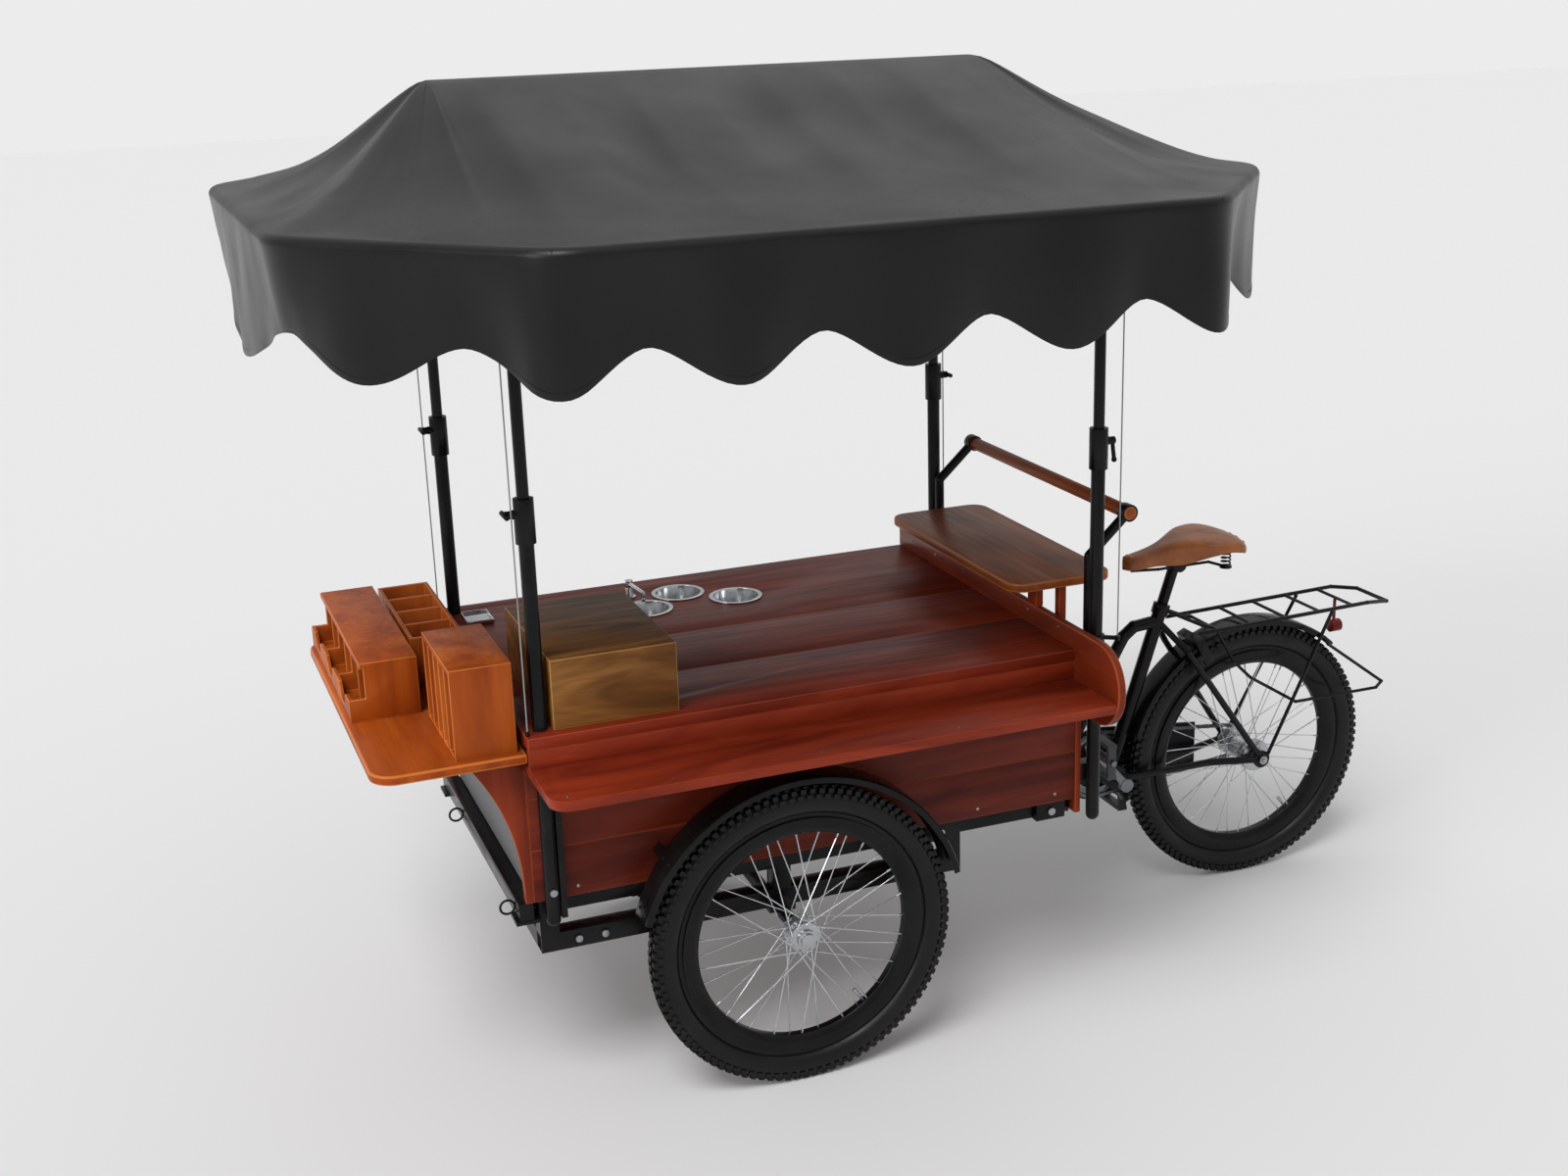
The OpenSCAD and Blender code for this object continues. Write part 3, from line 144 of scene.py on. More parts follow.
# Reflections see a bright panel overhead and a dim surround
way_out = add_node(tree, "ShaderNodeTexCoord")
height = add_node(tree, "ShaderNodeSeparateXYZ")
panel = add_node(tree, "ShaderNodeMapRange", {"From Min": 0.45, "From Max": 0.85, "To Min": 0.10, "To Max": 0.95})
tree.links.new(way_out.outputs["Generated"], height.inputs[0])
tree.links.new(height.outputs["Z"], panel.inputs["Value"])
mirrored = add_node(tree, "ShaderNodeBackground", {"Color": (1, 1, 1, 1)})
tree.links.new(panel.outputs["Result"], mirrored.inputs["Strength"])
lit = add_node(tree, "ShaderNodeMixShader")
tree.links.new(light_path.outputs["Is Glossy Ray"], lit.inputs[0])
tree.links.new(soft.outputs[0], lit.inputs[1])
tree.links.new(mirrored.outputs[0], lit.inputs[2])
choice = add_node(tree, "ShaderNodeMixShader")
tree.links.new(seen_more.outputs[0], choice.inputs[0])
tree.links.new(lit.outputs[0], choice.inputs[1])
tree.links.new(plain.outputs[0], choice.inputs[2])
tree.links.new(choice.outputs[0], add_node(tree, "ShaderNodeOutputWorld").inputs[0])


def soft_sun(name, way, strength, width):
    """A broad lamp far away that shines along a direction."""
    data = bpy.data.lights.new(name, "SUN")
    data.energy = strength
    data.angle = math.radians(width)
    lamp = bpy.data.objects.new(name, data)
    bpy.context.scene.collection.objects.link(lamp)
    lamp.matrix_world = Vector(way).to_track_quat("-Z", "Y").to_matrix().to_4x4()


soft_sun("lamp_over", (-0.45, -0.5, -1.0), 1.9, 26)
soft_sun("lamp_front", (-0.9, -0.35, -0.4), 0.85, 22)
soft_sun("lamp_back", (0.6, 0.75, -0.9), 0.12, 40)


# Guy cords
# Four thin grey cords run straight from eyes on the cart to the canopy's arms, one beside each post.
# Braided polyester, knotted through an eye at both ends.
AXLE_X = 413.5


def cart(x, y, z):
    """A point in metres, from millimetres ahead of the front axle, to the left and above the ground."""
    return Vector(((x + AXLE_X) / 1000, y / 1000, z / 1000))


def tube(points, radius, around=12, closed=False):
    """Vertices and faces of a round bar along points; radius is a number or one number for each point."""
    points = [Vector(p) for p in points]
    radii = radius if isinstance(radius, (list, tuple)) else [radius] * len(points)
    count = len(points)
    verts, faces = [], []
    normal = None
    for i, point in enumerate(points):
        before = points[i - 1] if i or closed else point
        after = points[(i + 1) % count] if i < count - 1 or closed else point
        along = (after - before).normalized()
        if normal is None:
            normal = along.orthogonal().normalized()
        normal = (normal - along * normal.dot(along)).normalized()
        other = along.cross(normal)
        for j in range(around):
            angle = math.tau * j / around
            verts.append(point + radii[i] * (math.cos(angle) * normal + math.sin(angle) * other))
    for i in range(count if closed else count - 1):
        for j in range(around):
            k = (j + 1) % around
            n = (i + 1) % count
            faces.append((i * around + j, i * around + k, n * around + k, n * around + j))
    if not closed:
        faces.append(tuple(range(around - 1, -1, -1)))
        faces.append(tuple((count - 1) * around + j for j in range(around)))
    return verts, faces


def piece(name, verts, faces, finish, body, slot=None, sharp=38, replaces=()):
    """A plain mesh object with its faces outwards, which rides on a body."""
    mesh = bpy.data.meshes.new(name)
    mesh.from_pydata([tuple(v) for v in verts], [], faces)
    work = bmesh.new()
    work.from_mesh(mesh)
    bmesh.ops.recalc_face_normals(work, faces=work.faces)
    work.to_mesh(mesh)
    work.free()
    mesh.materials.append(finish)
    mesh.shade_smooth()
    mesh.set_sharp_from_angle(angle=math.radians(sharp))
    obj = bpy.data.objects.new(name, mesh)
    bpy.context.scene.collection.objects.link(obj)
    if body:
        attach(obj, body)
    if replaces:
        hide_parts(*replaces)
    return obj


def bumped(tree, shader, height, strength, distance=0.001):
    """Joins a height to the shader's normal."""
    bump = add_node(tree, "ShaderNodeBump", {"Strength": strength, "Distance": distance})
    tree.links.new(height, bump.inputs["Height"])
    tree.links.new(bump.outputs["Normal"], shader.inputs["Normal"])


cord_finish, tree, shader = new_material("grey_cord", "#8f9294", 0.7)
place = add_node(tree, "ShaderNodeTexCoord")
braid = add_node(tree, "ShaderNodeTexWave", {"Scale": 260.0, "Distortion": 1.5, "Detail": 1.0}, bands_direction="DIAGONAL")
tree.links.new(place.outputs["Object"], braid.inputs["Vector"])
bumped(tree, shader, braid.outputs["Fac"], 0.5, 0.0004)
cord_low, cord_high, cord_y = 866.0, 1841.4, 434.3
for end, x in (("front", 540.0), ("rear", -765.0)):
    for hand, sign in (("left", 1), ("right", -1)):
        steps = 24
        route = [cart(x, sign * cord_y, cord_low + (cord_high - cord_low) * i / steps) for i in range(steps + 1)]
        line = piece(f"guy_cord_{end}_{hand}", *tube(route, 0.0015, 10), cord_finish, None, "cord", replaces=("guy_cords",))
        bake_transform(line)


# Chassis and steel brackets
# Square steel tubes welded under the cabinet, with the front rail, its two tie rings and the steering lugs.
# Painted semi-gloss black after welding; edges are eased and show a little worn paint.
body_of = {n: b for b, nodes in frame["record"]["behaviour"]["bodies"].items() for n in nodes}


def object_noise(tree, scale, detail=3.0, stretch=(1, 1, 1), distortion=0.0):
    """A noise on the object's own coordinates, stretched by the given factors."""
    place = add_node(tree, "ShaderNodeTexCoord")
    grow = add_node(tree, "ShaderNodeMapping", {"Scale": stretch})
    made = add_node(tree, "ShaderNodeTexNoise", {"Scale": scale, "Detail": detail, "Distortion": distortion})
    tree.links.new(place.outputs["Object"], grow.inputs["Vector"])
    tree.links.new(grow.outputs["Vector"], made.inputs["Vector"])
    return made.outputs["Fac"]


def ramp(tree, source, stops):
    """A colour ramp from (place, hex colour) stops."""
    made = add_node(tree, "ShaderNodeValToRGB")
    made.color_ramp.elements[0].position, made.color_ramp.elements[0].color = stops[0][0], linear(stops[0][1])
    made.color_ramp.elements[1].position, made.color_ramp.elements[1].color = stops[-1][0], linear(stops[-1][1])
    for place, colour in stops[1:-1]:
        made.color_ramp.elements.new(place).color = linear(colour)
    tree.links.new(source, made.inputs["Fac"])
    return made.outputs["Color"]


def spread_value(tree, source, low, high):
    """The source's range from 0.3 to 0.7 mapped between low and high."""
    made = add_node(tree, "ShaderNodeMapRange", {"From Min": 0.3, "From Max": 0.7, "To Min": low, "To Max": high})
    tree.links.new(source, made.inputs["Value"])
    return made.outputs["Result"]


def tinted(tree, colour, other, share, blend="MIX"):
    """Mixes two colours; each is a socket or a hex code, and share is a socket or a number."""
    made = add_node(tree, "ShaderNodeMix", data_type="RGBA", blend_type=blend)
    for socket, value in ((made.inputs[6], colour), (made.inputs[7], other)):
        if isinstance(value, str):
            socket.default_value = linear(value)
        else:
            tree.links.new(value, socket)
    if isinstance(share, (int, float)):
        made.inputs[0].default_value = share
    else:
        tree.links.new(share, made.inputs[0])
    return made.outputs[2]


def read_attribute(tree, name):
    """A number kept on the mesh."""
    return add_node(tree, "ShaderNodeAttribute", attribute_name=name).outputs["Fac"]


def paint(name, colour, worn, roughness=0.24, peel=0.08):
    """Sprayed paint: slight orange peel, dull patches and worn edges."""
    made, tree, shader = new_material(name, colour, roughness, specular=0.17)
    patches = object_noise(tree, 9.0, 5.0)
    wear = add_node(tree, "ShaderNodeMath", operation="MULTIPLY")
    tree.links.new(read_attribute(tree, "edge"), wear.inputs[0])
    tree.links.new(spread_value(tree, object_noise(tree, 60.0, 4.0), 0.0, 0.8), wear.inputs[1])
    shade = tinted(tree, colour, worn, spread_value(tree, patches, 0.0, 0.22))
    tree.links.new(tinted(tree, shade, worn, wear.outputs[0]), shader.inputs["Base Color"])
    tree.links.new(spread_value(tree, patches, roughness - 0.07, roughness + 0.12), shader.inputs["Roughness"])
    bumped(tree, shader, object_noise(tree, 420.0, 2.0), peel, 0.0006)
    return made


def dressed(node, finish, edge=0.0012, cuts=(), angle=32, name=None, sharp=38):
    """A smooth copy of one node with eased edges, cut along (axis, height) seams, which stands for the node."""
    base = bmesh.new()
    base.from_mesh(frame["nodes"][node].data)
    bmesh.ops.remove_doubles(base, verts=base.verts, dist=1e-5)
    bmesh.ops.dissolve_limit(base, angle_limit=math.radians(0.8), verts=base.verts, edges=base.edges)
    gap = 0.0004
    slabs = []
    for axis in sorted({a for a, _ in cuts}) or [None]:
        at = sorted(v for a, v in cuts if a == axis)
        for low, high in zip([None] + at, at + [None]):
            slab = base.copy()
            for value, way in ((low, -1), (high, 1)):
                if value is None:
                    continue
                normal = Vector([float(way) if i == axis else 0.0 for i in range(3)])
                spot = Vector([value - way * gap / 2 if i == axis else 0.0 for i in range(3)])
                cut = bmesh.ops.bisect_plane(slab, geom=slab.verts[:] + slab.edges[:] + slab.faces[:], plane_co=spot,
                                             plane_no=normal, clear_outer=True)
                open_edges = [e for e in cut["geom_cut"] if isinstance(e, bmesh.types.BMEdge)]
                bmesh.ops.holes_fill(slab, edges=open_edges)
            slabs.append(slab)
    mesh = bpy.data.meshes.new(name or node + "_dressed")
    whole = bmesh.new()
    draw = random.Random(len(node) * 131 + ord(node[0]))
    worn = whole.faces.layers.float.new("edge")
    tone = whole.faces.layers.float.new("board")
    for slab in slabs:
        if edge:
            ends = [e for e in slab.edges if len(e.link_faces) == 2 and e.calc_face_angle(0) > math.radians(angle)]
            bevel = bmesh.ops.bevel(slab, geom=ends, offset=edge, offset_type="OFFSET", segments=2, profile=0.5,
                                    affect="EDGES", clamp_overlap=True)
            eased = {f.index for f in bevel["faces"]} if slab.faces.index_update() is None else set()
        else:
            slab.faces.index_update()
            eased = set()
        slab.verts.index_update()
        verts = [whole.verts.new(v.co) for v in slab.verts]
        shade = draw.random()
        for f in slab.faces:
            try:
                new = whole.faces.new([verts[v.index] for v in f.verts])
            except ValueError:
                continue
            new[worn] = 1.0 if f.index in eased else 0.0
            new[tone] = shade
        slab.free()
    whole.to_mesh(mesh)
    whole.free()
    base.free()
    mesh.materials.append(finish)
    mesh.shade_smooth()
    mesh.set_sharp_from_angle(angle=math.radians(sharp))
    obj = bpy.data.objects.new(name or node + "_dressed", mesh)
    bpy.context.scene.collection.objects.link(obj)
    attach(obj, body_of[node])
    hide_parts(node)
    return obj


black_paint = paint("black_paint", "#09090a", "#38383a")
for node in ("chassis_frame", "post_brackets", "front_axle"):
    dressed(node, black_paint, 0.0016)


# Cabinet
# Two side walls of wide mahogany boards, tapered red brackets, rear corner boards and a grey front panel.
# Oiled and varnished in place; each board has its own tone, and the arrises are rubbed lighter.
def wood(name, dark, middle, light, rub, along=0, gloss=0.34, figure=1.0):
    """Varnished wood with its grain along one axis."""
    made, tree, shader = new_material(name, middle, gloss, specular=0.16)
    shift = add_node(tree, "ShaderNodeCombineXYZ")
    step = add_node(tree, "ShaderNodeMath", {1: 9.7}, operation="MULTIPLY")
    tree.links.new(read_attribute(tree, "board"), step.inputs[0])
    for i in range(3):
        tree.links.new(step.outputs[0], shift.inputs[i])
    place = add_node(tree, "ShaderNodeTexCoord")
    moved = add_node(tree, "ShaderNodeVectorMath", operation="ADD")
    tree.links.new(place.outputs["Object"], moved.inputs[0])
    tree.links.new(shift.outputs[0], moved.inputs[1])

    def grain(scale, stretch, detail, distortion):
        grow = add_node(tree, "ShaderNodeMapping", {"Scale": [1.0 if i == along else stretch for i in range(3)]})
        made = add_node(tree, "ShaderNodeTexNoise", {"Scale": scale, "Detail": detail, "Distortion": distortion})
        tree.links.new(moved.outputs[0], grow.inputs["Vector"])
        tree.links.new(grow.outputs["Vector"], made.inputs["Vector"])
        return made.outputs["Fac"]

    broad = grain(2.1, 5.0, 6.0, 1.2 * figure)
    streak = grain(3.0, 26.0, 5.0, 0.5 * figure)
    pores = grain(14.0, 42.0, 2.0, 0.0)
    base = ramp(tree, broad, [(0.30, dark), (0.50, middle), (0.70, light)])
    base = tinted(tree, base, dark, spread_value(tree, streak, 0.34, 0.0))
    base = tinted(tree, base, dark, spread_value(tree, pores, 0.22, 0.0))
    tone = add_node(tree, "ShaderNodeMapRange", {"To Min": 0.0, "To Max": 0.30})
    tree.links.new(read_attribute(tree, "board"), tone.inputs["Value"])
    base = tinted(tree, base, light, tone.outputs["Result"])
    wear = add_node(tree, "ShaderNodeMath", {1: 0.75}, operation="MULTIPLY")
    tree.links.new(read_attribute(tree, "edge"), wear.inputs[0])
    tree.links.new(tinted(tree, base, rub, wear.outputs[0]), shader.inputs["Base Color"])
    tree.links.new(spread_value(tree, streak, gloss + 0.10, gloss - 0.05), shader.inputs["Roughness"])
    bumped(tree, shader, pores, 0.14, 0.0005)
    return made


mahogany_x = wood("mahogany_along_the_cart", "#451006", "#66200f", "#7f2f17", "#9a4324", 0, 0.36)
mahogany_y = wood("mahogany_across_the_cart", "#4b1206", "#702610", "#88351a", "#a04a28", 1, 0.36)
mahogany_z = wood("mahogany_upright", "#5c1a0a", "#812d12", "#983d1b", "#ab502a", 2, 0.38)
grey_paint = paint("grey_panel_paint", "#6f7072", "#8b8c8e", 0.5)
SEAM_Z = 0.593
for node in ("side_panel_left", "side_panel_right"):
    dressed(node, mahogany_x, 0.0014, [(2, SEAM_Z), (2, 0.705)])
dressed("rear_panel", mahogany_y, 0.0014, [(2, SEAM_Z), (2, 0.705)])
dressed("cabinet_floor", mahogany_y, 0.001)
dressed("front_panel", grey_paint, 0.002)
dressed("cabinet_trim", mahogany_z, 0.0016)


# Counter, ledge and end board
# Edge-glued mahogany boards: the counter in three wide boards, the serving ledge below it on the left with
# its riser, and the upright end board with the round nose. Rounded over by hand, screwed from below.
# Painted light: the counter gets a lighter copy of the mahogany to make up for the canopy's shadow across it, and the
# ledge shares that copy.
counter_wood_painted_lighter = wood("counter_mahogany_painted_lighter", "#5c180b", "#862e18", "#9e3c20", "#b04c2a", 0, 0.38)
dressed("counter_top", counter_wood_painted_lighter, 0.0022, [(1, -0.036), (1, 0.205)])
dressed("ledge_boards", counter_wood_painted_lighter, 0.003)
dressed("end_board", mahogany_y, 0.003)


# Shelves
# A walnut shelf raised over the rear of the counter and an orange one ahead of the cabinet, round-cornered.
walnut = wood("walnut_shelf", "#5a290b", "#854319", "#a05a26", "#b86a30", 1, 0.33)
orange_y = wood("orange_wood_across", "#7c310c", "#a84c15", "#bf6424", "#cf7836", 1, 0.4, 0.6)
orange_z = wood("orange_wood_upright", "#7e320b", "#ab4f15", "#c06623", "#d27c3a", 2, 0.4, 0.6)
dressed("rear_shelf", walnut, 0.004)
dressed("front_shelf", orange_y, 0.004)


# Organizers and box
# Thin orange boards glued and pinned into trays, bins and upright slots, and a plain olive-brown box.
dressed("tray_organizer", orange_z, 0.0014)
dressed("bin_organizer", orange_z, 0.0014)
dressed("divider_organizer", orange_z, 0.0014)
box_wood = wood("box_wood", "#4a2d12", "#7a4d22", "#9c6b36", "#b88d50", 0, 0.42, 1.6)
dressed("wooden_box", box_wood, 0.0018)


# Bowls, steel tray and tap
# Spun stainless bowls dropped into the counter, a small pressed tray, and a chromed swivelling tap.
def bright_metal(name, colour, roughness, scratch=0.06):
    """Polished or brushed metal with fine scratches."""
    made, tree, shader = new_material(name, colour, roughness, 1.0)
    marks = object_noise(tree, 120.0, 3.0, (1, 6, 1))
    tree.links.new(spread_value(tree, marks, roughness - 0.05, roughness + 0.1), shader.inputs["Roughness"])
    tree.links.new(tinted(tree, colour, "#6d6f72", spread_value(tree, object_noise(tree, 14.0), 0.0, 0.25)),
                   shader.inputs["Base Color"])
    bumped(tree, shader, marks, scratch, 0.0003)
    return made


steel = bright_metal("brushed_steel", "#dcdee0", 0.16)
chrome = bright_metal("chrome", "#e2e4e6", 0.12, 0.02)
zinc = bright_metal("zinc_plate", "#a6a8ab", 0.34)
dressed("counter_inserts", steel, 0.0005)
dressed("tap_spout", chrome, 0.0008)
dressed("frame_bolts", zinc, 0.0012)


# Posts
# Black round tubes, the upper ones sliding in the lower, with a collar and a clamp screw at each joint.
for node in ("lower_posts", "post_collars", "upper_posts", "canopy_frame", "push_bar_arms"):
    dressed(node, black_paint, 0.001)
black_plastic = paint("black_plastic", "#0e0e0f", "#333436", 0.45, 0.2)
for node in ("knob_front_left", "knob_front_right", "knob_rear_right", "lever_rear_left"):
    dressed(node, black_plastic, 0.001)
dressed("push_bar_rod", wood("push_bar_wood", "#6a2f12", "#97481d", "#b5602a", "#c0733c", 1, 0.38), 0.003)


# Canopy
# One continuous charcoal sheet of coated cloth, sewn from panels, laid over the ridge tube and the eight eaves
# tubes. The valance hangs from the eaves in scallops and ends in a doubled hem. It rests on the tube frame.
CANOPY_X, HALF_L, HALF_W, END_HALF, SIDE_HALF = -40.0, 984.0, 982.0, 523.0, 605.0
EAVE_Z, RIDGE_Z, RIDGE_HALF = 1857.0, 2074.0, 587.0
DROP_LOW, DROP_HIGH, DROP_END = 238.0, 168.0, 280.0
corners = [(SIDE_HALF, HALF_W), (-SIDE_HALF, HALF_W), (-HALF_L, END_HALF), (-HALF_L, -END_HALF),
           (-SIDE_HALF, -HALF_W), (SIDE_HALF, -HALF_W), (HALF_L, -END_HALF), (HALF_L, END_HALF)]
scallops = [4, 1.5, 1, 1.5, 4, 1.5, 1, 1.5]
around = 480
lengths = [math.dist(corners[i], corners[(i + 1) % 8]) for i in range(8)]
whole = sum(lengths)
eave = []
for k in range(around):
    run = whole * k / around
    edge = 0
    while run > lengths[edge]:
        run -= lengths[edge]
        edge += 1
    share = run / lengths[edge]
    a, b = Vector(corners[edge]), Vector(corners[(edge + 1) % 8])
    place = a.lerp(b, share)
    way = (b - a).normalized()
    eave.append({"at": place, "out": Vector((way.y, -way.x)), "scallop": sum(scallops[:edge]) + share * scallops[edge],
                 "end": edge % 4 == 2, "run": whole * k / around})
# Corners of the eaves are rounded by averaging each point with its neighbours, and so are the outward ways.
reach = 4
for item, key in [(e, i) for i, e in enumerate(eave)]:
    near = [eave[(key + j) % around] for j in range(-reach, reach + 1)]
    item["soft"] = sum((n["at"] for n in near), Vector((0, 0))) / len(near)
    item["way"] = sum((n["out"] for n in near), Vector((0, 0))).normalized()
    item["low"] = sum(DROP_END if n["end"] else DROP_LOW for n in near) / len(near)
for item in eave:
    if item["way"].dot(item["soft"]) < 0:
        item["way"] = -item["way"]
TOP_ROWS, ROLL_ROWS, SIDE_ROWS, ROLL_R = 26, 6, 16, 17.0


def drape(x, y, scale):
    """A smooth roll of the cloth at a place on its plan."""
    return noise.noise(Vector((x / scale, y / scale, 3.7)))


def eased(t, soft=0.07):
    """The share of the way down from the ridge, rounded over where it starts."""
    return (math.hypot(t, soft) - soft) / (math.hypot(1.0, soft) - soft)


verts, faces, uvs = [], [], []
for row in range(TOP_ROWS + 1):
    t = row / TOP_ROWS
    for item in eave:
        x, y = item["soft"] - item["way"] * ROLL_R
        rx = max(-1, min(1, x / SIDE_HALF)) * RIDGE_HALF
        ry = 12 * y / HALF_W
        px, py = rx + t * (x - rx), ry + t * (y - ry)
        z = EAVE_Z + (RIDGE_Z - EAVE_Z) * (1 - eased(t)) ** 1.5
        slack = math.sin(math.pi * min(1.0, t * 1.02)) ** 0.8
        along = item["run"] / whole
        fold = 6.5 * math.sin(math.tau * 9 * along + 3.0 * drape(px, py, 420)) + 13.0 * drape(px, py, 260)
        z += slack * (fold - 6.0) - 9.0 * slack * max(0.0, math.cos(math.tau * item["scallop"]))
        verts.append(cart(CANOPY_X + px, py, z))
        uvs.append((item["run"] / 1000, t * 0.97))
for row in range(1, ROLL_ROWS + 1):
    bend = math.pi / 2 * row / ROLL_ROWS
    for item in eave:
        at = item["soft"] - item["way"] * ROLL_R * (1 - math.sin(bend))
        wave = 2.5 * noise.noise(Vector((item["run"] / 160.0, 2.0, 5.0)))
        verts.append(cart(CANOPY_X + at.x, at.y, EAVE_Z - ROLL_R * (1 - math.cos(bend)) + wave * math.sin(bend)))
        uvs.append((item["run"] / 1000, 0.97 + 0.027 * row / ROLL_ROWS))
for row in range(1, SIDE_ROWS + 1):
    t = row / SIDE_ROWS
    for item in eave:
        swing = math.cos(math.tau * item["scallop"])
        low = (1 + swing) / 2
        drop = DROP_HIGH + (item["low"] - DROP_HIGH) * low ** 0.85
        down = ROLL_R + (drop - ROLL_R) * t
        ripple = 12.0 * noise.noise(Vector((item["run"] / 120.0, t * 0.9, 8.0))) * t ** 0.7
        out = min(10.0, 13.0 * swing * t ** 0.9 - 9.0 * t + ripple)
        at = item["soft"] + item["way"] * out
        wave = 2.5 * noise.noise(Vector((item["run"] / 160.0, 2.0, 5.0))) * (1 - t)
        verts.append(cart(CANOPY_X + at.x, at.y, EAVE_Z - down + wave))
        uvs.append((item["run"] / 1000, 0.997 + down / 1000))
rows = TOP_ROWS + ROLL_ROWS + SIDE_ROWS
for row in range(rows):
    for k in range(around):
        n = (k + 1) % around
        faces.append((row * around + k, row * around + n, (row + 1) * around + n, (row + 1) * around + k))
cloth_finish, tree, shader = new_material("canopy_cloth", "#0f0f10", 0.34, specular=0.26)
map_uv = add_node(tree, "ShaderNodeUVMap", uv_map="cloth")
grow = add_node(tree, "ShaderNodeMapping", {"Scale": (900.0, 900.0, 900.0)})
tree.links.new(map_uv.outputs[0], grow.inputs["Vector"])
warp = add_node(tree, "ShaderNodeTexWave", {"Scale": 0.5}, bands_direction="X")
weft = add_node(tree, "ShaderNodeTexWave", {"Scale": 0.5}, bands_direction="Y")
tree.links.new(grow.outputs[0], warp.inputs["Vector"])
tree.links.new(grow.outputs[0], weft.inputs["Vector"])
weave = add_node(tree, "ShaderNodeMath", operation="MAXIMUM")
tree.links.new(warp.outputs["Fac"], weave.inputs[0])
tree.links.new(weft.outputs["Fac"], weave.inputs[1])
cloudy = object_noise(tree, 2.4, 5.0)
tree.links.new(ramp(tree, cloudy, [(0.3, "#0b0b0c"), (0.5, "#0f0f10"), (0.72, "#151516")]), shader.inputs["Base Color"])
tree.links.new(spread_value(tree, object_noise(tree, 5.0, 4.0), 0.26, 0.38), shader.inputs["Roughness"])
bumped(tree, shader, weave.outputs[0], 0.12, 0.0003)
canopy_mesh = bpy.data.meshes.new("canopy_cloth")
canopy_mesh.from_pydata([tuple(v) for v in verts], [], faces)
work = bmesh.new()
work.from_mesh(canopy_mesh)
work.verts.ensure_lookup_table()
sheet_uv = work.loops.layers.uv.new("cloth")
for f in work.faces:
    first = min(l.vert.index % around for l in f.loops)
    for l in f.loops:
        u, v = uvs[l.vert.index]
        if first == 0 and l.vert.index % around == 0 and max(k.vert.index % around for k in f.loops) == around - 1:
            u += whole / 1000
        l[sheet_uv].uv = (u, v)
top = [work.verts[k] for k in range(around)]
bmesh.ops.remove_doubles(work, verts=top, dist=0.0012)
open_edges = [e for e in work.edges if e.is_boundary and e.verts[0].co.z > (RIDGE_Z - 40) / 1000]
bmesh.ops.holes_fill(work, edges=open_edges)
bmesh.ops.recalc_face_normals(work, faces=work.faces)
if sum(f.normal.z for f in work.faces if f.calc_center_median().z > EAVE_Z / 1000) < 0:
    bmesh.ops.reverse_faces(work, faces=work.faces)
canopy_area = sum(f.calc_area() for f in work.faces)
work.to_mesh(canopy_mesh)
work.free()
canopy_mesh.materials.append(cloth_finish)
canopy_mesh.shade_smooth()
canopy = bpy.data.objects.new("canopy_cloth", canopy_mesh)
bpy.context.scene.collection.objects.link(canopy)
wall = canopy.modifiers.new("wall", "SOLIDIFY")
wall.thickness = 0.0016
wall.offset = -1.0
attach(canopy, "canopy")
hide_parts("canopy_cover")
# Doubled hem along the valance, with its stitched upper edge
hem_points = [verts[rows * around + k] for k in range(around)]
hem_verts, hem_faces = [], []
HEM_H, HEM_T = 0.011, 0.0022
for k in range(around):
    outward = eave[k]["way"].to_3d()
    for up, out in ((0.0006, 0.0007), (-HEM_H * 0.12, 0.0), (0.0006, -HEM_T), (HEM_H, -HEM_T + 0.0006), (HEM_H, 0.0006)):
        hem_verts.append(hem_points[k] + outward * out + Vector((0, 0, up)))
for k in range(around):
    n = (k + 1) % around
    for j in range(5):
        m = (j + 1) % 5
        hem_faces.append((k * 5 + j, k * 5 + m, n * 5 + m, n * 5 + j))
hem = piece("canopy_hem", hem_verts, hem_faces, cloth_finish, "canopy", "canopy_fabric", 50)


# Wheels
# Three alike 24-inch wheels: a knobbed black tyre on a deep black rim, 36 crossed bright spokes with nipples,
# a hub with two flanges, and a tyre valve. The spokes are laced two to each side of a repeating quarter.
WHEEL_Z, RIM_R, RIM_IN, KNOBS = 334.0, 267.0, 231.0, 100


def socket_in(tree, name, kind):
    return tree.interface.new_socket(name, in_out="INPUT", socket_type=kind)


